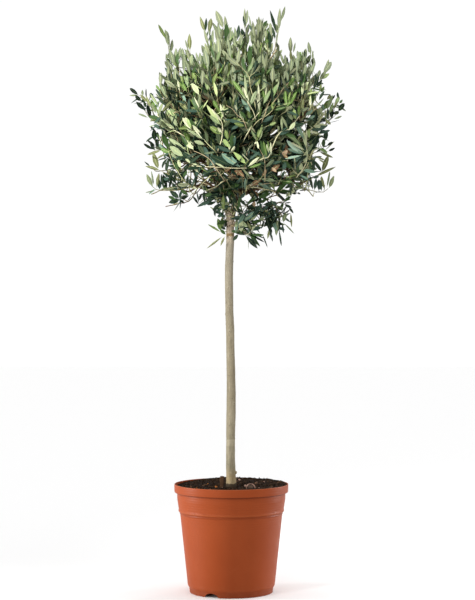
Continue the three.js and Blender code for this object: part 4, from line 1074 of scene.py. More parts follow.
    (0.9, [(119, 860), (136, 853), (151, 848), (169, 844), (185, 840), (195, 841), (204, 848)], 1.18, 1, [(206, 849, 216, 873, 7.8, 'low_sage'), (201, 850, 206, 881, 3.2, 'low_grey'), (197, 845, 189, 874, 5.7, 'low_olive'), (184, 843, 185, 865, 9.5, 'top_blue'), (190, 843, 187, 862, 6.3, 'top_blue'), (164, 844, 141, 853, 7.4, 'top_blue'), (172, 845, 166, 872, 5.3, 'top_dark')]),
    (0.9, [(126, 845), (132, 841), (138, 838)], 0.5, 0, [(138, 838, 146, 838, 4.2, 'top_black'), (138, 838, 129, 838, 4.2, 'top_black'), (138, 839, 134, 844, 3.2, 'top_black')]),
    (1.0, [(14, 769), (20, 762), (25, 754), (31, 751), (37, 753), (40, 758)], 1.09, 3, [(41, 758, 51, 770, 3.1, 'low_pale'), (30, 749, 54, 724, 8.8, 'top_black'), (38, 750, 60, 729, 9.3, 'top_deep'), (41, 751, 67, 751, 6.7, 'top_deep'), (15, 752, 5, 740, 6.7, 'top_dark'), (44, 746, 53, 731, 5.1, 'top_black')]),
    (1.0, [(8, 809), (12, 802), (13, 794), (17, 790)], 1.09, 3, []),
    (1.0, [(73, 794), (77, 782), (81, 761)], 1.01, 1, [(80, 763, 77, 744, 4.6, 'low_olive'), (81, 760, 87, 738, 3.6, 'top_dark'), (65, 752, 75, 726, 4.0, 'top_dark')]),
    (1.0, [(94, 807), (96, 797), (98, 786)], 0.92, 0, [(96, 784, 95, 751, 8.4, 'low_grey'), (100, 763, 105, 730, 2.9, 'top_dark'), (100, 797, 86, 775, 10.5, 'top_black'), (90, 799, 81, 769, 8.4, 'top_black'), (98, 794, 103, 763, 6.3, 'top_black')]),
    (1.0, [(103, 797), (109, 784), (111, 775)], 0.67, 0, [(107, 773, 110, 757, 4.6, 'top_blue'), (111, 775, 131, 755, 2.5, 'low_grey'), (115, 799, 110, 780, 8.4, 'low_grey'), (125, 797, 127, 769, 4.6, 'low_olive')]),
    (0.33, [(-123, 1060), (-127, 1098), (-130, 1123), (-133, 1148)], 0.84, 1, [(-137, 1163, -154, 1192, 5.5, 'top_olive'), (-140, 1165, -150, 1184, 2.5, 'low_grey'), (-133, 1148, -139, 1181, 5.9, 'top_sage'), (-132, 1150, -134, 1182, 5.5, 'top_teal'), (-128, 1133, -125, 1161, 6.7, 'top_sage'), (-131, 1106, -137, 1131, 7.6, 'top_sage'), (-121, 1106, -124, 1129, 5.1, 'top_black')]),
    (0.45, [(-108, 1060), (-110, 1089), (-112, 1114)], 0.84, 1, [(-117, 1114, -119, 1146, 7.6, 'top_sage'), (-114, 1114, -107, 1144, 7.6, 'top_sage'), (-102, 1116, -103, 1143, 6.3, 'top_sage'), (-125, 1087, -129, 1112, 6.3, 'top_sage')]),
    (0.39, [(-83, 1055), (-85, 1093), (-87, 1119), (-87, 1140)], 0.84, 1, [(-87, 1138, -88, 1173, 7.6, 'low_olive'), (-87, 1114, -92, 1142, 6.3, 'low_olive'), (-90, 1138, -97, 1159, 3.4, 'low_grey'), (-85, 1110, -82, 1131, 5.5, 'top_sage')]),
    (0.52, [(-64, 1051), (-66, 1085), (-68, 1110)], 0.84, 1, [(-74, 1108, -81, 1130, 4.2, 'top_dark'), (-68, 1112, -75, 1135, 5.1, 'top_sage'), (-64, 1110, -68, 1136, 5.9, 'top_sage'), (-59, 1112, -63, 1129, 5.5, 'top_deep')]),
    (0.39, [(-36, 1060), (-43, 1106), (-49, 1144), (-55, 1173)], 1.01, 1, [(-56, 1178, -66, 1209, 6.7, 'low_olive'), (-48, 1148, -57, 1184, 6.7, 'low_sage'), (-55, 1178, -53, 1205, 5.1, 'top_dark'), (-47, 1178, -43, 1205, 7.2, 'low_olive'), (-45, 1165, -48, 1199, 5.1, 'top_teal'), (-40, 1142, -45, 1173, 5.9, 'top_dark'), (-46, 1114, -60, 1152, 12.6, 'top_sage')]),
    (0.33, [(-7, 1060), (-11, 1106), (-15, 1144), (-19, 1178)], 1.01, 1, [(-16, 1184, -33, 1224, 10.5, 'low_sage'), (-21, 1163, -39, 1196, 8.1, 'top_pale'), (-12, 1175, -12, 1210, 6.7, 'low_sage'), (-7, 1161, -9, 1194, 5.9, 'low_sage'), (-19, 1156, -30, 1194, 5.5, 'top_teal'), (-23, 1148, -34, 1182, 8.8, 'low_sage'), (-25, 1116, -32, 1146, 6.7, 'top_deep'), (-11, 1127, -20, 1156, 7.6, 'top_sage')]),
    (0.45, [(14, 1055), (14, 1098), (13, 1135), (12, 1156)], 0.84, 1, [(10, 1144, 2, 1180, 8.0, 'top_sage'), (13, 1161, 16, 1191, 7.2, 'top_dark'), (6, 1123, -3, 1152, 7.2, 'top_sage'), (-4, 1173, 0, 1188, 3.8, 'top_teal'), (18, 1135, 19, 1165, 6.3, 'top_deep')]),
    (0.26, [(37, 1064), (34, 1114), (31, 1152), (30, 1180)], 0.84, 2, [(29, 1180, 28, 1226, 5.5, 'low_sage'), (31, 1190, 34, 1223, 6.3, 'top_teal'), (29, 1190, 25, 1211, 4.2, 'top_dark'), (27, 1165, 23, 1187, 7.2, 'top_dark'), (34, 1148, 31, 1180, 8.0, 'top_sage'), (32, 1180, 37, 1193, 2.9, 'low_grey')]),
    (0.39, [(58, 1060), (56, 1106), (53, 1144), (52, 1165)], 1.01, 1, [(50, 1148, 47, 1203, 7.2, 'low_sage'), (55, 1156, 57, 1207, 8.8, 'low_sage'), (62, 1167, 63, 1205, 6.2, 'low_pale'), (43, 1180, 37, 1212, 3.2, 'top_teal'), (43, 1180, 36, 1192, 4.2, 'top_blue'), (65, 1156, 67, 1201, 5.1, 'top_teal'), (58, 1119, 52, 1148, 8.4, 'top_sage')]),
    (0.49, [(81, 1055), (79, 1098), (77, 1135), (76, 1156)], 0.92, 2, [(66, 1190, 75, 1201, 5.1, 'top_deep'), (67, 1180, 77, 1199, 6.2, 'top_pale'), (73, 1165, 71, 1184, 6.7, 'low_sage'), (74, 1148, 77, 1182, 8.0, 'top_green'), (81, 1135, 80, 1184, 5.9, 'top_dark'), (85, 1167, 82, 1196, 6.3, 'low_sage')]),
    (0.26, [(86, 1068), (90, 1114), (93, 1144), (96, 1165), (99, 1184)], 1.01, 2, [(95, 1175, 82, 1222, 5.5, 'top_dark'), (100, 1180, 102, 1226, 7.6, 'low_sage'), (105, 1201, 113, 1230, 5.1, 'top_teal'), (98, 1138, 95, 1158, 4.6, 'top_black'), (94, 1121, 100, 1151, 7.6, 'top_sage')]),
    (0.33, [(130, 1060), (128, 1093), (127, 1119), (125, 1135)], 0.84, 1, [(125, 1131, 125, 1166, 8.0, 'low_sage'), (130, 1133, 134, 1154, 3.4, 'low_grey'), (128, 1112, 125, 1140, 6.3, 'low_olive'), (112, 1106, 103, 1135, 5.1, 'top_sage'), (114, 1106, 113, 1129, 4.6, 'top_sage'), (118, 1108, 117, 1125, 4.2, 'top_black'), (134, 1106, 131, 1129, 6.3, 'top_sage')]),
    (0.52, [(153, 1060), (150, 1089), (148, 1114)], 0.84, 1, [(143, 1116, 139, 1138, 7.0, 'top_pale'), (146, 1116, 144, 1140, 5.1, 'top_green'), (151, 1112, 157, 1141, 7.6, 'top_sage'), (154, 1123, 156, 1142, 3.4, 'top_black')]),
    (0.33, [(174, 1055), (171, 1089), (169, 1114), (167, 1131)], 0.76, 1, [(167, 1129, 162, 1156, 7.2, 'top_sage'), (162, 1108, 161, 1126, 4.6, 'top_black'), (170, 1108, 173, 1126, 4.6, 'top_black'), (175, 1102, 174, 1123, 4.6, 'top_sage'), (172, 1116, 171, 1138, 3.4, 'top_teal')]),
]
PORTRAIT_LOOSE = [
    (0.9, -11, 1152, -11, 1194, 11.8, 'top_deep'), (0.9, -20, 1140, -18, 1174, 7.6, 'low_sage'), (0.9, -5, 1140, 0, 1183, 10.1, 'top_sage'),
    (0.9, -26, 1119, -28, 1163, 9.1, 'low_sage'), (0.9, -1, 1119, -8, 1164, 8.4, 'low_grey'), (0.9, -36, 1110, -35, 1156, 9.7, 'top_sage'),
    (0.9, -30, 1093, -31, 1136, 8.4, 'low_grey'), (0.9, -49, 1098, -56, 1139, 10.3, 'low_grey'), (0.9, -121, 1106, -130, 1140, 9.1, 'low_grey'),
    (0.9, -110, 1106, -120, 1138, 8.4, 'top_deep'), (0.9, -100, 1093, -100, 1133, 7.8, 'top_sage'), (0.9, -87, 1089, -99, 1121, 6.7, 'top_sage'),
    (0.9, -129, 1068, -132, 1105, 8.4, 'low_sage'), (0.9, -116, 1064, -120, 1107, 10.3, 'top_sage'), (0.9, -104, 1055, -106, 1087, 7.6, 'top_olive'),
    (0.9, -91, 1060, -98, 1095, 6.9, 'top_sage'), (0.9, -74, 1068, -83, 1098, 7.4, 'top_olive'), (0.9, -62, 1064, -60, 1094, 7.6, 'low_sage'),
    (0.9, -49, 1051, -52, 1084, 7.8, 'top_olive'), (0.9, -137, 1039, -151, 1078, 8.4, 'low_grey'), (0.9, 124, 1093, 127, 1124, 8.2, 'top_sage'),
    (0.9, 136, 1085, 140, 1127, 6.9, 'top_sage'), (0.9, 149, 1081, 158, 1110, 7.2, 'top_sage'), (0.9, 161, 1076, 175, 1113, 7.8, 'top_sage'),
    (0.9, 111, 1076, 117, 1108, 8.0, 'low_sage'), (0.9, 128, 1051, 128, 1082, 7.6, 'low_sage'), (0.9, 143, 1047, 153, 1089, 8.6, 'top_deep'),
    (0.9, 157, 1043, 166, 1075, 7.2, 'low_sage'), (0.9, 98, 1060, 98, 1091, 7.6, 'low_sage'), (0.9, 10, 1106, 16, 1142, 10.3, 'low_sage'),
    (0.9, 25, 1098, 25, 1135, 8.0, 'top_sage'), (0.9, 39, 1106, 39, 1148, 7.8, 'top_deep'), (0.9, 54, 1098, 62, 1132, 8.8, 'top_sage'),
    (0.9, 69, 1093, 66, 1138, 9.7, 'low_grey'), (0.9, 84, 1085, 85, 1118, 8.6, 'low_grey'), (0.9, -7, 1081, -6, 1114, 8.6, 'top_olive'),
    (0.9, 6, 1068, 2, 1105, 9.7, 'low_grey'), (0.9, 20, 1064, 18, 1094, 9.3, 'low_grey'), (0.9, 37, 1060, 32, 1096, 7.4, 'low_grey'),
    (0.9, 54, 1055, 56, 1088, 9.3, 'top_olive'), (0.9, 69, 1051, 69, 1086, 9.7, 'low_grey'), (0.9, 31, 1081, 27, 1108, 6.3, 'top_deep'),
    (0.9, 63, 1072, 67, 1102, 6.3, 'top_deep'), (0.9, 46, 1068, 44, 1090, 4.6, 'top_black'), (0.9, -1, 1093, -7, 1117, 4.6, 'top_black'),
    (0.9, 73, 1106, 77, 1129, 4.6, 'top_black'), (0.9, -20, 1068, -28, 1097, 4.6, 'top_black'), (0.9, -41, 1068, -49, 1098, 5.5, 'top_dark'),
    (0.9, 119, 1068, 119, 1101, 5.1, 'top_dark'), (0.9, -106, 1068, -116, 1091, 4.6, 'top_black'), (0.9, 147, 1068, 149, 1094, 4.6, 'top_black'),
    (1.0, -145, 1037, -158, 1056, 5.3, 'top_dark'), (1.0, -137, 1020, -156, 1040, 3.8, 'top_dark'), (1.0, -150, 1053, -157, 1064, 5.3, 'top_green'),
    (1.0, -149, 1064, -149, 1094, 8.4, 'low_sage'), (1.0, -130, 1074, -131, 1090, 5.3, 'top_black'), (1.0, -134, 984, -145, 1010, 10.5, 'top_black'),
    (1.0, -117, 999, -133, 1013, 6.8, 'top_pale'), (1.0, -109, 1053, -111, 1072, 4.3, 'low_cream'), (1.0, -93, 1051, -107, 1076, 8.4, 'top_green'),
    (1.0, -95, 1030, -106, 1049, 6.3, 'top_teal'), (1.0, -68, 1045, -82, 1067, 9.7, 'low_pale'), (1.0, -71, 1012, -83, 1039, 9.5, 'top_deep'),
    (1.0, -67, 1017, -78, 1039, 3.1, 'low_cream'), (1.0, -30, 1041, -36, 1069, 6.8, 'top_pale'), (1.0, -28, 1067, -5, 1072, 5.3, 'top_teal'),
    (1.0, -93, 1015, -108, 1031, 8.4, 'low_olive'), (1.0, -88, 982, -97, 997, 5.8, 'low_pale'), (1.0, -73, 1013, -84, 1036, 5.3, 'top_green'),
    (1.0, -114, 993, -127, 1015, 8.4, 'top_sage'), (1.0, -112, 977, -127, 998, 8.4, 'low_sage'), (1.0, -85, 972, -101, 995, 7.8, 'low_cream'),
    (1.0, -84, 974, -93, 993, 6.3, 'top_lime'), (1.0, -79, 977, -87, 991, 2.8, 'low_cream'), (1.0, -74, 975, -86, 993, 6.3, 'top_deep'),
    (1.0, -88, 946, -97, 969, 10.5, 'top_green'), (1.0, -87, 930, -106, 961, 7.4, 'top_deep'), (1.0, -97, 930, -129, 952, 8.4, 'low_sage'),
    (1.0, -94, 923, -116, 940, 5.3, 'top_black'), (1.0, -100, 915, -127, 935, 12.6, 'low_sage'), (1.0, -132, 931, -144, 959, 12.6, 'top_deep'),
    (1.0, -160, 947, -163, 970, 11.6, 'top_dark'), (1.0, -151, 949, -156, 966, 5.3, 'top_deep'), (1.0, -160, 968, -169, 978, 4.6, 'top_black'),
    (1.0, -71, 899, -100, 922, 10.5, 'top_dark'), (1.0, -75, 903, -96, 923, 8.4, 'low_sage'), (1.0, -71, 897, -93, 908, 6.8, 'low_pale'),
    (1.0, -69, 882, -82, 897, 6.0, 'low_cream'), (1.0, -52, 891, -65, 898, 4.2, 'top_dark'), (1.0, -92, 908, -114, 913, 6.3, 'top_blue'),
    (1.0, -7, 950, -12, 969, 7.4, 'top_olive'), (1.0, -3, 934, -16, 950, 8.4, 'top_lime'), (1.0, -4, 930, -5, 941, 6.9, 'low_cream'),
    (1.0, 87, 1070, 88, 1102, 9.7, 'low_pale'), (1.0, 79, 981, 93, 986, 8.4, 'top_olive'), (1.0, 100, 969, 99, 979, 8.4, 'low_sage'),
    (1.0, 0, 931, 3, 959, 9.5, 'top_deep'), (1.0, 1, 925, -26, 935, 7.4, 'top_blue'), (1.0, 37, 908, 57, 924, 5.1, 'top_blue'),
    (1.0, 140, 1069, 138, 1093, 7.4, 'top_sage'), (1.0, 149, 1044, 152, 1070, 5.8, 'low_pale'), (1.0, 156, 1049, 161, 1071, 5.8, 'top_pale'),
    (1.0, 146, 1014, 151, 1035, 8.4, 'low_olive'), (1.0, 166, 1019, 167, 1042, 4.3, 'low_cream'), (1.0, 155, 1000, 170, 1013, 6.3, 'top_teal'),
    (1.0, 157, 990, 173, 1000, 6.3, 'top_teal'), (1.0, 176, 982, 178, 1011, 10.5, 'top_black'), (0.97, 7, 893, -22, 918, 8.4, 'top_dark'),
    (0.97, 107, 906, 87, 902, 6.3, 'top_blue'), (0.97, 128, 889, 105, 908, 9.5, 'top_deep'), (0.97, 112, 887, 105, 905, 6.3, 'top_black'),
    (0.97, -74, 880, -75, 854, 5.1, 'top_black'), (0.97, -72, 882, -81, 853, 4.2, 'top_blue'), (0.97, -65, 877, -36, 888, 8.4, 'top_dark'),
    (0.97, -64, 872, -36, 880, 8.4, 'top_dark'), (0.97, -121, 891, -131, 867, 6.3, 'top_dark'), (0.97, 124, 865, 125, 835, 5.3, 'top_dark'),
    (0.97, 150, 869, 146, 886, 5.3, 'top_blue'), (0.97, 163, 851, 155, 885, 6.3, 'top_dark'), (0.97, 171, 870, 185, 874, 6.7, 'top_blue'),
    (0.97, 150, 848, 132, 861, 7.4, 'top_deep'), (0.97, 24, 844, 23, 875, 4.2, 'top_teal'), (0.97, 29, 844, 28, 875, 4.2, 'top_teal'),
    (0.97, -17, 835, -17, 808, 7.4, 'top_olive'), (0.97, 5, 834, 5, 806, 5.5, 'top_dark'), (0.97, 32, 855, 33, 883, 3.8, 'low_grey'),
    (0.97, -127, 871, -129, 851, 7.4, 'top_dark'), (0.97, -125, 862, -115, 845, 7.4, 'top_blue'), (0.97, -113, 866, -107, 849, 7.4, 'top_dark'),
    (0.97, -104, 864, -102, 849, 6.3, 'top_blue'), (0.97, -91, 877, -93, 859, 5.3, 'top_dark'), (0.97, -105, 887, -100, 870, 7.4, 'top_dark'),
    (0.97, -93, 887, -100, 874, 5.3, 'top_deep'), (0.97, -169, 1018, -177, 1039, 6.3, 'low_olive'), (0.97, -154, 1022, -167, 1041, 5.5, 'low_sage'),
    (0.97, -171, 1009, -154, 1026, 6.3, 'top_sage'), (0.97, -180, 1011, -190, 1024, 5.3, 'top_dark'), (0.97, 23, 1142, 20, 1171, 7.2, 'top_sage'),
    (0.97, 15, 1138, 18, 1165, 6.3, 'low_sage'), (0.97, -22, 1163, -28, 1192, 6.3, 'top_sage'), (0.97, 92, 1161, 87, 1188, 5.5, 'top_dark'),
    (0.97, 96, 1150, 95, 1180, 5.9, 'low_sage'), (0.97, -37, 1148, -41, 1186, 5.9, 'top_sage'), (0.97, 11, 1156, 7, 1186, 5.9, 'top_sage'),
    (0.97, -34, 1119, -43, 1146, 5.5, 'top_deep'), (0.97, 206, 1005, 214, 1027, 6.7, 'top_sage'), (0.97, 199, 994, 197, 1013, 5.5, 'low_sage'),
    (0.97, 214, 1013, 222, 1031, 5.1, 'low_olive'), (0.97, 183, 963, 197, 972, 5.5, 'top_dark'), (0.97, 184, 964, 206, 970, 5.9, 'top_blue'),
    (0.97, 175, 845, 178, 868, 8.4, 'top_blue'), (0.97, 178, 925, 191, 931, 4.2, 'top_black'), (0.97, -171, 895, -182, 904, 3.4, 'top_dark'),
    (0.97, 121, 809, 130, 797, 5.5, 'top_dark'), (0.97, 109, 790, 124, 778, 4.6, 'top_blue'), (0.97, -11, 811, -26, 822, 6.3, 'top_dark'),
    (0.97, -7, 815, -15, 832, 6.3, 'top_blue'), (0.97, -20, 803, -36, 811, 6.3, 'top_deep'), (0.97, -3, 824, -7, 845, 5.5, 'top_dark'),
    (0.97, -26, 794, -39, 805, 5.5, 'top_blue'), (0.97, -15, 797, -28, 790, 5.1, 'top_dark'), (0.97, -7, 805, -20, 813, 5.5, 'top_deep'),
    (0.97, 1, 813, -4, 828, 5.5, 'top_dark'), (0.97, 10, 803, 20, 818, 6.3, 'top_deep'), (0.97, 25, 792, 39, 803, 6.3, 'top_blue'),
    (0.97, 18, 784, 33, 778, 6.3, 'top_dark'), (0.97, 44, 792, 56, 803, 6.3, 'top_dark'), (0.97, 33, 813, 46, 826, 6.3, 'top_deep'),
    (0.97, 65, 803, 77, 811, 6.3, 'top_blue'), (0.97, 52, 815, 65, 824, 6.3, 'top_dark'), (0.97, 39, 780, 52, 790, 5.5, 'low_sage'),
    (0.97, 56, 778, 69, 788, 5.5, 'low_grey'), (0.97, 73, 778, 86, 786, 6.3, 'top_dark'), (0.97, 86, 794, 98, 803, 6.3, 'top_blue'),
    (0.97, 29, 765, 44, 769, 6.3, 'top_deep'), (0.97, 48, 761, 60, 771, 5.5, 'low_olive'), (0.97, 12, 815, 4, 830, 5.9, 'top_dark'),
    (0.97, 18, 826, 29, 839, 6.3, 'top_blue'), (0.97, 63, 788, 73, 799, 5.5, 'top_dark'), (0.97, -32, 824, -45, 832, 5.5, 'top_dark'),
    (0.93, 0, 873, 21, 887, 9.3, 'dead_brown'), (0.93, 10, 888, 26, 874, 7.6, 'dead_brown'), (0.93, 83, 884, 101, 897, 9.7, 'dead_brown'),
    (0.93, 84, 893, 94, 884, 5.1, 'dead_tan'), (0.93, 43, 855, 58, 865, 7.6, 'dead_brown'), (0.93, 105, 914, 116, 927, 7.2, 'dead_tan'),
    (0.93, 109, 923, 118, 912, 5.5, 'dead_brown'), (0.93, -15, 883, -3, 892, 5.9, 'dead_brown'), (0.93, 46, 805, 49, 820, 5.5, 'dead_tan'),
    (0.93, 65, 874, 74, 887, 5.5, 'dead_brown'), (0.93, -35, 901, -25, 909, 5.1, 'dead_brown'), (1.0, 38, 790, -1, 785, 7.6, 'top_blue'),
    (1.0, 54, 803, 27, 778, 9.7, 'top_teal'), (1.0, 66, 817, 49, 799, 8.4, 'top_blue'), (1.0, 21, 784, 20, 759, 10.8, 'low_pale'),
    (1.0, 13, 782, 11, 758, 7.6, 'top_teal'), (1.0, 26, 756, 1, 759, 7.6, 'top_deep'), (1.0, -29, 808, -40, 787, 7.6, 'top_dark'),
    (1.0, -31, 799, -44, 809, 3.5, 'low_pale'), (1.0, -11, 785, -28, 799, 7.2, 'top_blue'), (1.0, 83, 804, 68, 794, 3.5, 'low_pale'),
    (1.0, 91, 811, 110, 805, 6.3, 'low_grey'), (1.0, 70, 795, 84, 757, 8.4, 'top_black'), (1.0, 39, 778, 25, 763, 8.4, 'top_dark'),
    (1.0, 44, 759, 33, 778, 6.3, 'low_olive'), (1.0, 33, 769, 25, 784, 6.3, 'top_black'), (1.0, 65, 782, 44, 775, 8.4, 'top_deep'),
    (1.0, 65, 767, 46, 760, 7.4, 'top_blue'), (1.0, 81, 782, 69, 769, 8.4, 'top_black'), (1.0, 94, 782, 81, 765, 8.4, 'top_dark'),
    (1.0, 77, 801, 92, 794, 8.4, 'top_black'), (1.0, 86, 794, 73, 801, 7.4, 'low_olive'), (1.0, 56, 807, 37, 811, 8.4, 'top_dark'),
    (1.0, 31, 811, 18, 826, 7.4, 'top_dark'), (1.0, 18, 832, 16, 807, 6.3, 'top_deep'), (1.0, 103, 784, 96, 759, 7.4, 'top_black'),
    (1.0, 25, 799, 4, 805, 8.4, 'top_dark'), (1.0, 29, 786, 16, 795, 8.4, 'top_blue'), (1.0, -20, 818, -39, 804, 7.2, 'top_dark'),
    (1.0, -15, 809, -31, 799, 6.3, 'top_blue'), (1.0, 33, 750, 8, 755, 6.3, 'top_dark'), (1.0, 111, 815, 128, 808, 5.5, 'top_dark'),
    (1.0, 109, 822, 124, 825, 4.2, 'low_grey'), (1.0, -88, 851, -87, 869, 7.2, 'top_blue'), (1.0, -36, 825, -66, 813, 8.4, 'top_blue'),
    (1.0, -30, 821, -51, 815, 6.3, 'top_dark'), (1.0, -32, 828, -53, 825, 7.6, 'top_dark'), (1.0, 65, 813, 92, 819, 7.2, 'top_dark'),
    (1.0, 81, 824, 96, 813, 5.9, 'top_blue'), (1.0, 58, 818, 73, 824, 6.3, 'top_deep'), (1.0, 111, 848, 126, 857, 6.3, 'top_dark'),
    (1.0, -116, 858, -128, 873, 7.2, 'top_dark'), (1.0, -129, 870, -143, 880, 5.9, 'top_dark'), (1.0, -122, 862, -117, 877, 5.1, 'top_black'),
    (1.0, 172, 1026, 169, 1049, 6.7, 'top_deep'), (1.0, 164, 1034, 170, 1055, 6.3, 'top_olive'), (1.0, 178, 1032, 174, 1053, 5.5, 'top_sage'),
    (1.0, 105, 870, 112, 884, 5.9, 'top_dark'),
]
NEAR_DEPTH = [(715, 20), (760, 28), (800, 48), (835, 88), (870, 150), (900, 400)]


def near_y(x, z, share):
    mid, half = outline(z)
    deep = min(0.96 * float(half), float(table(NEAR_DEPTH, z)))
    return -share * deep * math.sqrt(max(1 - ((x - float(mid)) / float(half)) ** 2, 0.03))


def seen(x, z, y):
    """The point at depth y that is seen from the front at x and z."""
    shrink = 1 + y / 3550
    return np.array([13.05 + (x - 13.05) * shrink, y, 613.4 + (z - 613.4) * shrink])


def traced_blade(x0, z0, x1, z1, width, skin, y0, share):
    """Where a traced leaf starts, its direction, length, width factor and skins, its seen side towards the viewer."""
    y1 = y0 + 0.7 * (near_y(x1, z1, share) - near_y(x0, z0, share)) + rng.uniform(-7, 3)
    p, q = seen(x0, z0, y0), seen(x1, z1, y1)
    q = p + (1.10 if z1 < 1110 else 1.04) * (q - p)
    length = float(np.linalg.norm(q - p))
    if z0 > 1060:
        skin = HIGH_SKIN.get(skin, skin)
    side = -1.0 if skin.startswith("top") else 1.0
    face = np.array([0.30 * rng.normal(), side, 0.20 * rng.normal() + 0.10])
    other = skin if skin.startswith("dead") else ("low_silver" if z0 > 1060 else "low_sage") if side < 0 else "top_deep"
    top, low = (skin, other) if side < 0 else (other, skin)
    rib = "rib_shaded" if skin in ("top_black", "top_dark", "top_blue", "top_deep") else "rib"
    return p, q - p, face, length, float(np.clip((1.06 if share > 0.96 else 1.26) * width / (2 * ASPECT * length), 0.36, 1.6)), (SKIN_NAMES.index(top), SKIN_NAMES.index(low), SKIN_NAMES.index(rib))


def traced_shoot(points, radius_mm, mat, blades, outer=False):
    if outer or points[-1][2] > 1100:
        radius_mm, mat = radius_mm * (1.2 if outer else 0.8), 4 if mat == 1 else mat
    line = catmull([tuple(p) for p in points], 13)
    shoots.append({"line": line, "pairs": 0, "leaf": 30, "tone": "olive", "hero": True, "star": False, "blades": blades, "stem_r": 0.62 * radius_mm, "mat": mat})


for share, stem, radius_mm, mat, leaf_rows in PORTRAIT:
    points = [seen(x, z, near_y(x, z, share)) for x, z in stem]
    flat = np.array(stem, float)
    blades = []
    for x0, z0, x1, z1, width, skin in leaf_rows:
        k = int(np.argmin(np.hypot(flat[:, 0] - x0, flat[:, 1] - z0)))
        blades.append(traced_blade(x0, z0, x1, z1, width, skin, points[k][1] - 1.0, share))
    go = unit(points[1] - points[0])
    traced_shoot([points[0] - 9 * go + np.array([0, 24.0, 0])] + points, radius_mm, mat, blades, share < 0.96 and stem[-1][1] < 1110)
for share, x0, z0, x1, z1, width, skin in PORTRAIT_LOOSE:
    blade = traced_blade(x0, z0, x1, z1, width, skin, near_y(x0, z0, share), share)
    p, go = blade[0], unit(blade[1])
    traced_shoot([p - 13 * go + np.array([0, 24.0, 0]), p - 7 * go + np.array([0, 9.0, 0]), p], 0.75, 2, [blade])

# leaves that hang before the fork, and the dense dark skirt on the right, whose dark tones are painted shade under the
# crown
for x, y, z, a, turn, length, pairs, leaf, tone in (
    (-34, -34, 806, 236, -50, 62, 4, 36, "dark"), (-14, -40, 812, 262, -40, 60, 4, 36, "deep"), (12, -42, 818, 292, 50, 62, 4, 38, "dark"),
    (30, -38, 806, 300, 46, 58, 4, 36, "deep"), (58, -36, 790, 318, 40, 66, 4, 38, "deep"), (-52, -30, 826, 214, -40, 60, 4, 36, "dark"),
    (40, -30, 770, 332, 30, 60, 4, 36, "deep"), (66, -26, 764, 316, 36, 62, 4, 38, "dark"), (92, -20, 772, 322, 40, 62, 4, 36, "deep"),
    (50, 4, 782, 300, 40, 56, 4, 36, "dark"), (84, 12, 798, 338, 40, 62, 4, 36, "deep"), (108, -6, 796, 350, 30, 62, 4, 34, "deep"),
    (28, -26, 786, 300, 60, 50, 3, 38, "dark"), (70, 22, 764, 296, 50, 58, 4, 36, "dark"), (100, 0, 752, 300, 50, 60, 4, 36, "deep"),
    (-24, -52, 838, 236, -40, 60, 4, 38, "dark"), (2, -58, 846, 266, 30, 60, 4, 38, "deep"), (26, -54, 838, 300, 40, 62, 4, 38, "dark"), (-8, -62, 868, 240, -40, 60, 4, 38, "dark"),
    (22, -66, 876, 300, 30, 62, 4, 38, "deep"), (-40, -60, 872, 216, -40, 62, 4, 38, "deep"), (52, -60, 868, 322, 40, 62, 4, 38, "dark"), (-6, -34, 796, 262, -30, 52, 4, 34, "dark"), (10, -34, 792, 282, 30, 52, 4, 34, "deep"),
    (46, -22, 744, 322, 40, 58, 3, 40, "dark"), (-10, 34, 806, 250, -40, 60, 4, 36, "dark"), (26, 40, 800, 290, 40, 60, 4, 36, "dark"),
):
    at, at0 = math.radians(a), math.radians(a + turn)
    add_spray((x, y, z), (math.cos(at), 0.25 * np.sign(y), math.sin(at)), (math.cos(at0), 0.35 * np.sign(y), math.sin(at0)), length, pairs, leaf, tone, True)



def fill_low(count, tries):
    """Short shoots under the crown whose leaves open like stars, spread apart so that light shows between them."""
    tips = [s["line"][-1] for s in shoots]
    zs = np.linspace(816, 884, 80)
    for _ in range(count):
        best, score = None, -1
        for _ in range(tries):
            z = float(rng.choice(zs))
            az = rng.random() * 2 * math.pi
            mid, edge = edge_radius(z, az)
            q = rng.uniform(0.30, 0.97) ** 0.8
            p = np.array([mid + q * edge * math.cos(az), q * edge * math.sin(az), z])
            near = np.min(np.linalg.norm(np.array(tips) - p, axis=1))
            if near > score and not (p[0] < -60 and z < 830):
                best, score = (p, az), near
        p, az = best
        az = az + 0.9 * rng.normal()
        e = math.radians(rng.uniform(-75, 35))
        go = np.array([math.cos(e) * math.cos(az), math.cos(e) * math.sin(az), math.sin(e)])
        back = unit(np.array([math.cos(az), math.sin(az), 0.2]))
        tone = str(rng.choice(["dark", "deep", "olive", "grey"], p=[0.42, 0.34, 0.14, 0.10]))
        leaf = float(np.clip(rng.normal(42, 4), 32, 50))
        add_spray(p, go, back, 30 + 0.72 * leaf, int(rng.integers(1, 4)), leaf, tone, False, True)
        tips.append(p)


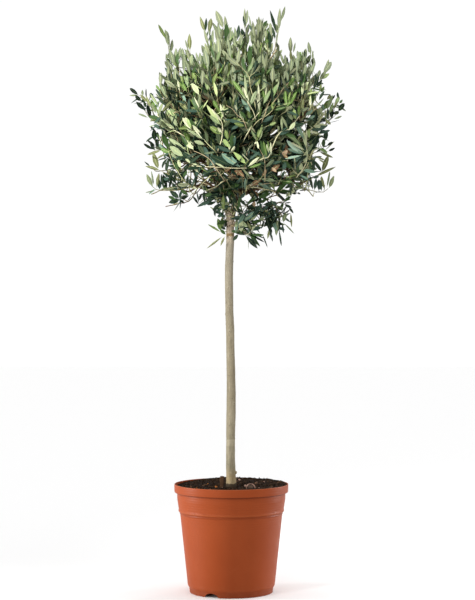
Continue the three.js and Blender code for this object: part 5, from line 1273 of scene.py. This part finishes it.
# starred shoots along the near lower edge: x, y, z of the tip and the angle it points at, seen from the front
for x, y, z, a, n, leaf, tone in (
    
    
    (-120, -30, 858, 240, 2, 40, "dark"), (-32, -40, 838, 276, 2, 44, "grey"), (-100, -52, 880, 225, 2, 42, "deep"),
    (-4, -46, 848, 262, 2, 46, "deep"), (30, -48, 866, 250, 2, 50, "grey"), (52, -52, 842, 348, 3, 46, "deep"),
    (74, -30, 826, 330, 2, 46, "dark"), 
    (98, -10, 818, 286, 2, 38, "dark"), (148, -30, 870, 300, 2, 40, "dark"),
    (6, -44, 820, 284, 2, 42, "dark"), (40, -40, 812, 322, 2, 46, "deep"), (66, -34, 804, 350, 2, 44, "grey"),
    (98, -26, 800, 342, 2, 40, "deep"), (58, -16, 732, 310, 2, 38, "dark"), (40, -16, 738, 296, 2, 38, "deep"), (96, -8, 752, 300, 2, 38, "dark"), (20, 30, 818, 250, 2, 40, "dark"), (-60, 40, 826, 220, 2, 40, "dark"),
    (70, 44, 820, 320, 2, 42, "dark"), (-104, 40, 838, 200, 2, 40, "deep"),
    (24, -44, 806, 300, 2, 42, "deep"), (52, -44, 826, 320, 3, 42, "dark"), (84, -34, 842, 300, 3, 40, "deep"), (112, -22, 830, 330, 2, 40, "dark"),
    (72, -40, 790, 310, 2, 40, "deep"), (120, -30, 852, 290, 2, 40, "grey"), (38, -44, 786, 280, 2, 38, "dark"),
):
    at = math.radians(a)
    add_spray((x, y, z), (math.cos(at), -0.35, math.sin(at)), (0.8 * math.cos(at), 0.3 * np.sign(y), 0.2), 26 + 0.72 * leaf, n, leaf, tone, True, True)

def fill_front(count, tries):
    """Sprays just under the near side's skin, spread apart, darker than those that stand out before them: painted shade
    for their place behind them.
    """
    tips = [s["line"][-1] for s in shoots]
    for _ in range(count):
        best, score = None, -1
        for _ in range(tries):
            z = rng.uniform(862, 1096)
            mid, half = outline(z)
            x = float(mid) + rng.uniform(-0.92, 0.92) * float(half)
            y = near_y(x, z, rng.uniform(0.80, 0.95))
            p = seen(x, z, y)
            near = np.min(np.linalg.norm(np.array(tips) - p, axis=1))
            if near > score:
                best, score = p, near
        p = best
        z = p[2]
        az = math.atan2(p[1], (p[0] - 8) * 1.5) + math.radians(20) * rng.normal()
        e = math.radians(min(float(table(RISE, z)) + 14 * rng.normal(), 86))
        e0 = e - math.radians(rng.uniform(0, 34))
        go = np.array([math.cos(e) * math.cos(az), 0.7 * math.cos(e) * math.sin(az), math.sin(e)])
        go0 = np.array([math.cos(e0) * math.cos(az + 0.2), math.cos(e0) * math.sin(az + 0.2), math.sin(e0)])
        tone = str(rng.choice(["dark", "deep"], p=[0.5, 0.5])) if rng.random() < (0.68 if z < 1020 else 0.40) else pick_tone(z, 1.0, az)
        add_spray(p, go, go0, rng.uniform(54, 86), int(rng.integers(5, 7)), float(np.clip(rng.normal(28.5, 4.0), 21, 38)), tone, True)
        tips.append(p)



def fill_top(count, tries):
    """Upright sprays over the middle of the crown's top, which close it when it is seen from above."""
    tips = [s["line"][-1] for s in shoots]
    for _ in range(count):
        best, score = None, -1
        for _ in range(tries):
            z = rng.uniform(1106, 1152)
            az = rng.random() * 2 * math.pi
            mid, edge = edge_radius(z, az)
            q = 0.68 * math.sqrt(rng.random())
            p = np.array([mid + q * edge * math.cos(az), q * edge * math.sin(az), z])
            near = np.min(np.linalg.norm(np.array(tips) - p, axis=1))
            if near > score and not (z > 1118 and (88 < p[0] < 124 or -98 < p[0] < -62)):
                best, score = (p, az, q), near
        p, az, q = best
        lean = 0.1 + 0.6 * q
        go = np.array([lean * math.cos(az), lean * math.sin(az), 1.0]) + 0.12 * rng.normal(size=3)
        add_spray(p, go, go + 0.3 * rng.normal(size=3), rng.uniform(56, 86), int(rng.integers(5, 7)), float(np.clip(rng.normal(32, 4), 24, 40)), str(rng.choice(["sage", "olive", "deep"], p=[0.66, 0.22, 0.12])), True)
        tips.append(p)


fill_front(136, 6)
fill_top(40, 8)
fill_low(40, 9)
fill_crown(286, False, 7)
fill_crown(100, True, 5)

# long shoots that stand out at the front, the back and between, so the crown is as shaggy there as at its sides
for k in range(44):
    z = 850 + 320 * ((k * 0.61803) % 1.0) ** 0.9
    az = (k * 2.39996 + 0.7) % (2 * math.pi)
    if abs(math.cos(az)) > 0.80 or (math.sin(az) < -0.3 and z < 1090):
        continue
    mid, edge = edge_radius(z, az)
    out = edge + rng.uniform(6, 26)
    steep = math.radians(float(table(RISE, z)) - rng.uniform(4, 26))
    e0 = steep - math.radians(rng.uniform(0, 30))
    go = np.array([math.cos(steep) * math.cos(az), math.cos(steep) * math.sin(az), math.sin(steep)])
    go0 = np.array([math.cos(e0) * math.cos(az + 0.2), math.cos(e0) * math.sin(az + 0.2), math.sin(e0)])
    add_spray((mid + out * math.cos(az), float(np.clip(out * math.sin(az), -203, 201)), z), go, go0, rng.uniform(84, 116), int(rng.integers(4, 7)), rng.uniform(30, 38), pick_tone(z, 1.0, az), True)
for x, y, z in ((-24, 78, 1158), (22, 96, 1150), (60, 66, 1176), (-10, 52, 1190), (70, 104, 1122), (-60, 92, 1128), (30, -84, 1150), (62, -62, 1172), (-8, -92, 1140), (-44, -70, 1150)):
    lean = rng.uniform(0.02, 0.35) * np.sign(y)
    add_spray((x, y, z), (0.12 * rng.normal(), lean, 1.0), (0.2 * rng.normal(), lean + 0.2 * np.sign(y), 1.0), rng.uniform(84, 112), 5, rng.uniform(34, 40), "sage", True)

# dry brown leaves caught round the fork
DEAD = [(13, -96, 881), (86, -110, 889), (54, -84, 862), (42, -70, 838), (122, -104, 912), (66, -90, 880), (30, -60, 850), (100, -56, 876), (16, 50, 870), (-40, 60, 884)]

# ------------------------------------------------------------------ branching: join every spray to the boughs

rng = np.random.default_rng(SEED + 5)
node_p, node_t, node_len, node_parent, node_r = [], [], [], [], []
for name, line in bough_lines.items():
    if name == "pruned_stub":
        continue
    t = tangents(line)
    parent = -1
    for k in range(7, len(line)):
        node_p.append(line[k])
        node_t.append(t[k])
        node_len.append(4.0 * k)
        node_parent.append(parent)
        node_r.append(bough_radii[name][k])
        parent = len(node_p) - 1
trunk_anchor = len(node_p)
for z in (757.0, 766.0):  # where the low sprig left of the stem comes out of the bark
    node_p.append(np.array([table(TRUNK_X, z) - 7.5, table(TRUNK_Y, z) - 2.0, z]))
    node_t.append(unit(np.array([-1.0, -0.3, 0.3])))
    node_len.append(0.0)
    node_parent.append(-1)
    node_r.append(1.2)
backbone = len(node_p)

# the sprig that hangs beside the stem, on the left
rows = [(-22, 758, -27, 783, 9.5, 'top_green'), (-18, 761, -19, 785, 6.3, 'top_olive'), (-14, 765, -11, 778, 5.3, 'top_black'), (-22, 756, -47, 773, 3.8, 'top_olive'), (-12, 751, -23, 761, 8.4, 'top_deep'), (-19, 747, -49, 724, 2.7, 'low_olive'), (-14, 747, -22, 729, 4.0, 'low_olive'), (-11, 762, -21, 767, 6.3, 'top_dark')]
blades = [traced_blade(*row, -9.0 - 1.5 * k, 0.3) for k, row in enumerate(rows)]
traced_shoot([(-9, -5, 758), (-14, -8, 757), (-19, -9, 758), (-22, -10, 760)], 1.2, 2, blades)

# where sky shows between the leaves from the front: middle x and z, half length, half width, angle in degrees
WINDOWS = [
    (90, 965, 9.3, 4.2, 43), (-62, 905, 12.6, 4.6, -47), (-143, 1019, 7.4, 3.8, 60), (-165, 1008, 6.3, 4.6, 90), (-150, 962, 8.0, 3.4, 90), (-137, 942, 2.9, 2.9, 0),
    (-99, 928, 3.2, 2.1, 0), (-150, 923, 12.6, 2.5, 10), (-156, 898, 21.1, 16.8, 0), (-99, 898, 7.6, 4.6, 0), (-121, 872, 4.6, 2.5, 0), (-120, 862, 3.4, 3.4, 0),
    (-94, 874, 4.2, 8.4, 0), (-83, 869, 3.8, 8.4, 0), (-63, 871, 6.3, 6.3, 0), (-81, 857, 3.2, 3.2, 0), (-93, 842, 7.2, 5.1, 0), (-54, 859, 5.5, 2.7, 40),
    (-65, 844, 5.1, 4.6, 0), (-40, 854, 3.4, 5.1, 0), (-9, 878, 5.1, 5.1, 0), (-23, 886, 2.5, 4.2, 0), (0, 872, 3.8, 3.8, 0), (-37, 887, 2.9, 3.8, 0),
    (-50, 890, 5.5, 1.9, 0), (41, 882, 2.7, 6.3, 0), (53, 888, 3.4, 2.9, 0), (13, 970, 2.1, 2.1, 0), (20, 954, 2.5, 2.5, 0), (38, 958, 2.1, 2.1, 0),
    (45, 950, 2.1, 2.1, 0), (17, 933, 2.1, 2.1, 0), (46, 929, 2.1, 2.5, 0), (100, 879, 4.6, 4.2, 0), (109, 878, 2.1, 8.4, 0), (117, 886, 6.3, 2.7, 0),
    (120, 877, 3.4, 2.1, 0), (134, 863, 3.8, 2.9, 0), (118, 849, 4.0, 3.2, 0), (98, 849, 5.5, 4.6, 45), (39, 853, 4.2, 2.9, 0), (25, 851, 2.5, 6.3, 0),
    (29, 833, 7.2, 9.3, 0), (26, 811, 2.3, 10.5, 0), (13, 818, 2.7, 8.4, 0), (-8, 826, 2.9, 5.9, 0), (57, 845, 2.9, 2.3, 0), (60, 858, 2.9, 2.5, 0),
    (160, 861, 3.4, 2.5, 0), (176, 852, 3.2, 5.5, 0), (197, 904, 18.9, 18.9, 0), (180, 924, 10.5, 3.2, -12), (187, 866, 8.4, 12.6, 0), (110, 834, 8.4, 2.7, -20),
    (91, 831, 6.3, 2.7, 20), (100, 818, 2.3, 6.3, 0), (73, 818, 5.5, 2.9, 0), (53, 813, 3.8, 6.3, 0), (54, 785, 4.6, 5.5, 0), (-43, 821, 6.3, 2.3, 0),
    (-37, 812, 4.6, 3.4, 0), (34, 798, 3.8, 2.7, 0), (71, 771, 2.7, 6.3, 0), (89, 762, 2.5, 4.2, 0), (124, 918, 5.3, 2.5, 20), (152, 975, 2.9, 5.1, 60),
    (165, 1003, 2.9, 2.1, 0), (145, 834, 12.6, 8.4, 0), (-140, 830, 10.5, 8.4, 0), (-159, 864, 10.5, 16.8, 0), (-83, 824, 8.4, 8.4, 0), (-73, 1156, 9.5, 16.8, 0),
    (109, 1173, 8.4, 14.7, 0), (117, 1142, 4.2, 10.5, 0), (-83, 794, 27.4, 16.8, 0), (-177, 848, 10.5, 6.3, 0), (201, 830, 16.8, 9.5, 0), (131, 825, 7.4, 8.4, 0),
    (213, 963, 7.4, 12.6, 0), (241, 1039, 8.4, 8.4, 0), (239, 998, 10.5, 7.4, 0), (204, 1070, 9.5, 5.3, 0), (183, 1119, 5.3, 21.1, 0), (105, 1184, 4.6, 10.5, 0),
    (-2, 1175, 2.5, 12.6, 0), (-191, 1060, 3.8, 10.5, 0), (-210, 1040, 7.4, 3.8, 0), (-181, 989, 6.3, 3.2, 0), (-180, 960, 8.4, 2.9, 0), (186, 1032, 9.5, 6.3, -40),
    (166, 833, 7.4, 10.5, 0), (140, 1143, 8.4, 6.3, 0), (97, 1142, 3.4, 10.5, 0), (-64, 1169, 5.5, 16.8, 0), (0, 794, 9.5, 14.7, 0), (-1, 769, 9.5, 10.5, 0),
    (151, 809, 25.3, 10.5, -20), (-147, 1119, 6.3, 18.9, 0), (-161, 1076, 8.4, 10.5, 0), (-76, 1138, 7.4, 9.5, 0), (-142, 805, 10.5, 12.6, 0),
    (-47, 794, 10.5, 10.5, 0), (-83, 809, 6.3, 6.3, 0),
    (-1, 744, 10.5, 8.4, 0),
    (-118, 833, 5.9, 5.5, 0), (21, 736, 10.5, 9.8, 0), (-44, 781, 11.6, 8.4, 0), (-193, 996, 7.4, 6.3, 0), (-143, 1150, 6.7, 9.5, 0), (-199, 1013, 9.5, 6.3, 0), (-180, 982, 8.4, 5.3, 0),
]
WINDOW = np.array(WINDOWS, float)
# shaded hollows between the sprays of the near side, in the same terms
HOLLOW = np.array([
    (-28, 956, 6, 6, 0), (-9, 973, 4, 5, 0), (-3, 1005, 4, 4, 0), (-41, 1005, 4, 4, 0), (50, 1051, 4, 5, 0), (56, 1070, 3, 4, 0),
    (-64, 933, 4, 4, 0), (-76, 893, 4, 3, 0), (58, 904, 5, 3, 0), (69, 883, 4, 3, 0), (140, 868, 5, 3, 0), (166, 877, 4, 4, 0),
], float)


def seen_in(points, spots):
    """Whether any of the points is seen inside one of the spots."""
    grow = 1 / (1 + points[:, 1] / 3550)
    dx = (13.05 + (points[:, 0] - 13.05) * grow)[:, None] - spots[None, :, 0]
    dz = (613.4 + (points[:, 2] - 613.4) * grow)[:, None] - spots[None, :, 1]
    c, s_ = np.cos(np.radians(spots[:, 4])), np.sin(np.radians(spots[:, 4]))
    u, v = dx * c + dz * s_, dz * c - dx * s_
    return bool(((u / (spots[:, 2] + 1.5)) ** 2 + (v / (spots[:, 3] + 1.5)) ** 2 < 1).any())


def in_sky(points):
    return seen_in(points, WINDOW)


shoots = [s for s in shoots if "blades" in s or not in_sky(s["line"][[-1, -3]])]
starts = np.array([s["line"][0] for s in shoots])
start_dir = np.array([unit(s["line"][1] - s["line"][0]) for s in shoots])
REACH_COST = 0.34
twig_lines = []  # (points, first node, shoot index)
open_set = list(range(len(shoots)))


def cost(points, dirs, p, t, along):
    gap = points[:, None, :] - p[None, :, :]
    dist = np.linalg.norm(gap, axis=2)
    heading = gap / np.maximum(dist, 1e-6)[..., None]
    back = 1 - np.einsum("ijk,jk->ij", heading, t)
    wrong = 1 - np.einsum("ijk,ik->ij", heading, dirs)
    return dist * (1 + 0.28 * back + 0.60 * wrong) + REACH_COST * along[None, :]


best_cost = np.full(len(shoots), 1e9)
best_node = np.full(len(shoots), -1)
c = cost(starts, start_dir, np.array(node_p), np.array(node_t), np.array(node_len))
best_node, best_cost = c.argmin(1), c.min(1)
child_of = {}
while open_set:
    k = min(open_set, key=lambda i: best_cost[i])
    open_set.remove(k)
    j = int(best_node[k])
    p0, p1 = np.array(node_p[j]), starts[k]
    dist = np.linalg.norm(p1 - p0)
    go = unit(p1 - p0)
    t0 = unit(0.55 * np.array(node_t[j]) + go) * min(dist * 0.9, 60)
    t1 = unit(start_dir[k] + (0.6 + 0.9 * (1 - float(np.dot(start_dir[k], go)))) * go) * min(dist * 0.9, 46)
    m = max(3, int(dist / 11) + 1)
    s = np.linspace(0, 1, m + 1)[:, None]
    line = p0 * (2 * s**3 - 3 * s**2 + 1) + t0 * (s**3 - 2 * s**2 + s) + p1 * (3 * s**2 - 2 * s**3) + t1 * (s**3 - s**2)
    if dist > 25:
        line[1:-1] += 0.35 * rng.normal(size=(m - 1, 3))
    t = tangents(line)
    first = len(node_p)
    parent = j
    for q in range(1, m + 1):
        node_p.append(line[q])
        node_t.append(t[q])
        node_len.append(node_len[parent] + dist / m)
        node_parent.append(parent)
        node_r.append(0.0)
        parent = len(node_p) - 1
    twig_lines.append((line, [j] + list(range(first, first + m)), k))
    if open_set:
        idx = np.array(open_set)
        new = np.arange(first, first + m)
        cc = cost(starts[idx], start_dir[idx], np.array(node_p)[new], np.array(node_t)[new], np.array(node_len)[new])
        b_i, b_c = cc.argmin(1), cc.min(1)
        better = b_c < best_cost[idx]
        best_cost[idx[better]] = b_c[better]
        best_node[idx[better]] = new[b_i[better]]

load = np.zeros(len(node_p))
for line, ids, k in twig_lines:
    load[ids[-1]] += 1
for i in range(len(node_p) - 1, -1, -1):
    if node_parent[i] >= 0:
        load[node_parent[i]] += load[i]
radius = 0.56 + 0.43 * np.maximum(load, 1) ** 0.53
radius[:backbone] = np.minimum(np.array(node_r[:backbone]), radius[:backbone] + 1.0)

# ------------------------------------------------------------------ pieces: twigs and leaves for each mass

mass_names = sorted(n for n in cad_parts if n.startswith("foliage_"))
mass_mid, mass_half = [], []
for n in mass_names:
    lo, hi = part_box(n)
    mass_mid.append((np.array(lo) + np.array(hi)) / 2 / MM)
    mass_half.append((np.array(hi) - np.array(lo)) / 2 / MM)
mass_mid, mass_half = np.array(mass_mid), np.array(mass_half)


def mass_of(p):
    return mass_names[int(np.argmin((((p - mass_mid) / mass_half) ** 2).sum(1)))]


twigs = {n: Builder() for n in mass_names}
leaves = {n: [] for n in mass_names}


def place_leaf(bucket, at, along, up, length, skins, width=1.0, kept=False):
    """Notes one leaf: where its stalk starts, where it points, and which way its upper side faces."""
    along = unit(along)
    if not kept and in_sky(at + along * length * np.array([[0.1], [0.35], [0.6], [0.8], [1.0]])):
        return
    if not kept and at[2] > 1050:
        width *= 1.05
    # leaves narrowed as if seen edge on mostly get near-black skins, painted shade between the leaves; the rest get
    # paler skins, partly the leaf's own pale side and partly a painted highlight on its edge
    elif not kept and at[1] < 12 and rng.random() < 0.36:  # leaves seen nearly edge on
        width *= rng.uniform(0.42, 0.62)
        dark = ("top_black", "top_dark", "top_black")
        if at[2] < 905:
            skins = ("top_olive", "low_sage", "low_sage") if rng.random() < 0.22 else dark
        else:
            skins = ("top_pale", "low_cream", "low_pale") if rng.random() < 0.28 else dark
        skins = tuple(SKIN_NAMES.index(k) for k in skins)
    # leaves seen inside a shaded hollow get dark skins: painted shade
    if not kept and at[1] < -20 and seen_in(at + along * length * np.array([[0.3], [0.5], [0.7]]), HOLLOW):
        skins = tuple(SKIN_NAMES.index(k) for k in ("top_dark", "low_shaded", "top_dark"))
    up = unit(up - along * np.dot(up, along))
    bucket.append((at, along, np.cross(up, along), up, length, width, skins))


def leaf_skins(tone, z=1000.0):
    if z < 905:
        tone = {"dark": "shade", "deep": "cool", "inner": "dark"}.get(tone, tone)
    tops, tw, lows, lw = TONES[tone]
    return SKIN_NAMES.index(str(rng.choice(tops, p=tw))), SKIN_NAMES.index(str(rng.choice(lows, p=lw))), SKIN_NAMES.index(RIB_OF[tone])


UP = np.array([0, 0, 1.0])
for line, ids, k in twig_lines:
    spray = shoots[k]
    home = mass_of(spray["line"][5])
    r = radius[ids].copy()
    r[0] = min(r[0], r[1] * 1.15)
    mat = 0 if load[ids[1]] > 2 or rng.random() < 0.4 else 4 if rng.random() < 0.66 or line[-1][2] < 905 else 1
    twigs[home].tube(line, r, 6, mat)
    stem = spray["line"]
    high = np.clip((stem[-1][2] - 880) / 220, 0, 1)
    low = np.clip((935 - stem[-1][2]) / 90, 0, 1)
    away = unit((stem[-1] - FOCUS) * [1, 1, 0.3])
    slack = 0.0 if spray["hero"] else rng.uniform(0.0, 0.45) * (0.35 + 0.65 * low)  # how much the leaves of this spray hang
    under = float(table([(820, 0.12), (900, 0.16), (980, 0.20), (1060, 0.44), (1150, 0.62)], stem[-1][2]))  # share of them seen from below
    if "blades" in spray:
        twigs[home].tube(stem, np.linspace(max(r[-1], spray["stem_r"]), 0.62 * spray["stem_r"], len(stem)), 6, spray["mat"])
        for at, go, face, size, wide, skins in spray["blades"]:
            place_leaf(leaves[home], at, go, face, size, skins, wide, True)
        t = tangents(stem)
        steps = np.linalg.norm(np.diff(stem, axis=0), axis=1)
        run = np.concatenate([[0], np.cumsum(steps)])
        away = unit((stem[-1] - FOCUS) * [1, 1, 0.3])
        for d0 in np.arange(16.0, run[-1] - 4, 12.5):
            i0 = min(int(np.searchsorted(run, d0)), len(stem) - 2)
            tt = t[i0]
            if tt[2] < -0.5:
                tt = -tt
            side = unit(np.cross(tt, [0, -1.0, 0.0]))
            z = stem[i0][2]
            own = str(rng.choice(["dark", "deep", "olive", "sage"], p=[0.0, 0.12, 0.16, 0.72] if z > 1085 else [0.38, 0.34, 0.18, 0.10] if z > 930 else [0.5, 0.34, 0.16, 0.0]))
            for sign in (1, -1):
                if rng.random() < 0.30:
                    continue
                o = math.radians(rng.uniform(26, 62) if z < 1085 else rng.uniform(12, 34))
                d = unit(sign * side + np.array([0, rng.uniform(-0.5, 0.9), 0]))
                go = math.cos(o) * tt + math.sin(o) * d
                shown = -1 if rng.random() < (0.25 if z < 1085 else 0.6) else 1
                place_leaf(leaves[home], stem[i0] + d * 0.6 + np.array([0, 1.5, 0]), go, away * shown * rng.uniform(0.7, 1.5) + UP * 0.3 + 0.3 * rng.normal(size=3), rng.uniform(22, 34), leaf_skins(own, z), rng.uniform(0.85, 1.15))
        continue
    stem_r = np.linspace(r[-1] * 0.98, 0.72, len(stem))
    twigs[home].tube(stem, stem_r, 5, {"inner": 0, "dark": 1, "grey": 1}.get(spray["tone"], 2))
    # opposite pairs, turned against the last and often flattened towards the light, closer and more upright towards the tip
    t = tangents(stem)
    pairs = spray["pairs"]
    side = unit(np.cross(t[0], away + 0.35 * rng.normal(size=3)))
    roll = 0.35 * rng.normal()
    first = 0.42 if spray["star"] else 0.18 if spray["hero"] else 0.08
    for m in range(pairs):
        f = first + (0.97 - first) * (m + 0.15 * rng.random()) / max(pairs - 0.2, 1)
        x = f * (len(stem) - 1)
        i0 = min(int(x), len(stem) - 2)
        p = stem[i0] + (stem[i0 + 1] - stem[i0]) * (x - i0)
        tt = unit(t[i0] + (t[i0 + 1] - t[i0]) * (x - i0))
        s0 = unit(side - tt * np.dot(side, tt))
        s1 = np.cross(tt, s0)
        a = roll + m * math.radians(68) + 0.25 * rng.normal()
        size = spray["leaf"] * (0.80 + 0.34 * math.sin(math.pi * min(1, 0.25 + 0.75 * f))) * rng.uniform(0.86, 1.12)
        for sign in (1, -1):
            if rng.random() < (0.05 if f > 0.4 else 0.14):
                continue
            d = sign * (math.cos(a) * s0 + math.sin(a) * s1)
            wide = 84 - 30 * f if spray["star"] else 56 - 26 * f - 14 * high
            open_angle = math.radians(wide + 11 * rng.normal())
            go = math.cos(open_angle) * tt + math.sin(open_angle) * d
            go = go + UP * (0.14 * high) - UP * slack * (1 - high) + 0.10 * rng.normal(size=3)
            face = 0.7 * (math.sin(open_angle) * tt - math.cos(open_angle) * d)
            shown = -1 if rng.random() < under else 1
            face = face + UP * (0.35 - 0.15 * high) + away * shown * rng.uniform(0.5, 1.5) + 0.25 * rng.normal(size=3)
            place_leaf(leaves[home], p + d * 0.7, go, face, size * rng.uniform(0.92, 1.06), leaf_skins(spray["tone"], p[2]), rng.uniform(0.80, 1.12))
    # the closing pair and the small bud leaves between them
    tt = t[-1]
    s0 = unit(side - tt * np.dot(side, tt))
    s1 = np.cross(tt, s0)
    a = roll + pairs * math.pi / 2
    for sign in (1, -1):
        d = sign * (math.cos(a) * s0 + math.sin(a) * s1)
        o = math.radians((38 if spray["star"] else 15) + 5 * rng.normal())
        go = math.cos(o) * tt + math.sin(o) * d
        face = 0.7 * (math.sin(o) * tt - math.cos(o) * d) + 0.3 * UP + away * (-1 if rng.random() < under else 1) * rng.uniform(0.2, 0.9)
        place_leaf(leaves[home], stem[-1], go, face, spray["leaf"] * rng.uniform(0.66, 0.80) * (1.2 if spray["star"] else 1), leaf_skins(spray["tone"], p[2]), rng.uniform(0.8, 1.0))
    if rng.random() < 0.6:
        o = math.radians(8)
        d = math.cos(a + 1.5) * s0 + math.sin(a + 1.5) * s1
        place_leaf(leaves[home], stem[-1], math.cos(o) * tt + math.sin(o) * d, d + 0.2 * UP, spray["leaf"] * rng.uniform(0.34, 0.5), leaf_skins("pale" if high > 0.3 else spray["tone"]), 0.8)

for at in DEAD:
    for _ in range(2):
        go = unit(np.array([0.3, -0.2, -0.8]) + 0.7 * rng.normal(size=3))
        place_leaf(leaves[mass_of(np.array(at))], np.array(at, float) + 5 * rng.normal(size=3), go, np.array([0, -1.0, 0.2]) + 0.5 * rng.normal(size=3), rng.uniform(20, 30), leaf_skins("dead"), rng.uniform(0.9, 1.3))

total = 0
for name in mass_names:
    wood_piece = twigs[name].build("twigs_" + name[8:], TWIG_MATS)
    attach(wood_piece, "root")
    rows = leaves[name]
    pointed = rng.random(len(rows)) < np.array([0.25 + 0.6 * np.clip((r[0][2] - 960) / 160, 0, 1) + 0.45 * np.clip((900 - r[0][2]) / 40, 0, 1) for r in rows])
    kinds = rng.integers(10, size=len(rows)) + 10 * pointed
    b = Builder()
    for kind, (kv, kf, km) in enumerate(LEAF_KINDS):
        pick = [rows[i] for i in np.nonzero(kinds == kind)[0]]
        if not pick:
            continue
        at, X, Y, Z = (np.array([r[c] for r in pick]) for c in range(4))
        L = np.array([r[4] for r in pick])[:, None, None]
        W = np.array([r[5] for r in pick])[:, None, None]
        verts = at[:, None, :] + L * (kv[None, :, 0:1] * X[:, None, :] + W * kv[None, :, 1:2] * Y[:, None, :] + kv[None, :, 2:3] * Z[:, None, :])
        faces = kf[None] + (np.arange(len(pick)) * len(kv))[:, None, None]
        top = np.array([r[6][0] for r in pick])[:, None]
        low = np.array([r[6][1] for r in pick])[:, None]
        rib = np.array([r[6][2] for r in pick])[:, None]
        mats = np.where(km[None] == 0, top, np.where(km[None] == 1, low, rib))
        b.block(verts.reshape(-1, 3), [faces.reshape(-1, 4)], [mats.reshape(-1)])
    piece = b.build("leaves_" + name[8:], LEAF_MATS)
    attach(piece, "root")
    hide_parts(name)
    total += len(rows)

# ------------------------------------------------------------------ stage and light


def area_light(name, at, to, size, power, spread=180):
    data = bpy.data.lights.new(name, "AREA")
    data.shape, data.size, data.energy, data.spread = "DISK", size, power, math.radians(spread)
    o = bpy.data.objects.new(name, data)
    o.location = at
    o.rotation_euler = (Vector(to) - Vector(at)).to_track_quat("-Z", "Y").to_euler()
    scene.collection.objects.link(o)


area_light("low_key", (-3.4, -0.15, 0.30), (0, 0, 0.13), 0.5, 1.34, 14)
area_light("stem_key", (-1.9, -2.8, 0.50), (0, 0, 0.37), 0.5, 0.225, 12)
area_light("skirt_key", (-1.3, -3.2, 0.62), (0.01, 0, 0.80), 0.5, 0.085, 10)
area_light("low_fill", (3.15, 1.27, 0.25), (0, 0, 0.02), 0.3, 0.6, 14)
area_light("high_key", (-1.9, -2.3, 2.9), (0, 0, 0.98), 0.6, 3.95, 21)
area_light("back_key", (1.9, 2.7, 2.5), (0, 0, 0.98), 0.8, 2.2, 22)
area_light("fill", (3.2, 0.5, 1.5), (0, 0, 0.6), 1.8, 6)

world = bpy.data.worlds.new("studio")
world.use_nodes = True
world.node_tree.nodes["Background"].inputs["Color"].default_value = (1, 1, 1, 1)
world.node_tree.nodes["Background"].inputs["Strength"].default_value = 1.02
scene.world = world

floor_mat = plain("floor", (0.97, 0.97, 0.97), 0.9, 0.1)
fb = Builder()
fb.block(np.array([[-12, -12, 0], [12, -12, 0], [12, 12, 0], [-12, 12, 0]], float), [np.array([[0, 1, 2, 3]])], [0])
floor = fb.build("floor", [floor_mat], 1.0)

scene.view_settings.view_transform = "Standard"
scene.view_settings.look = "None"
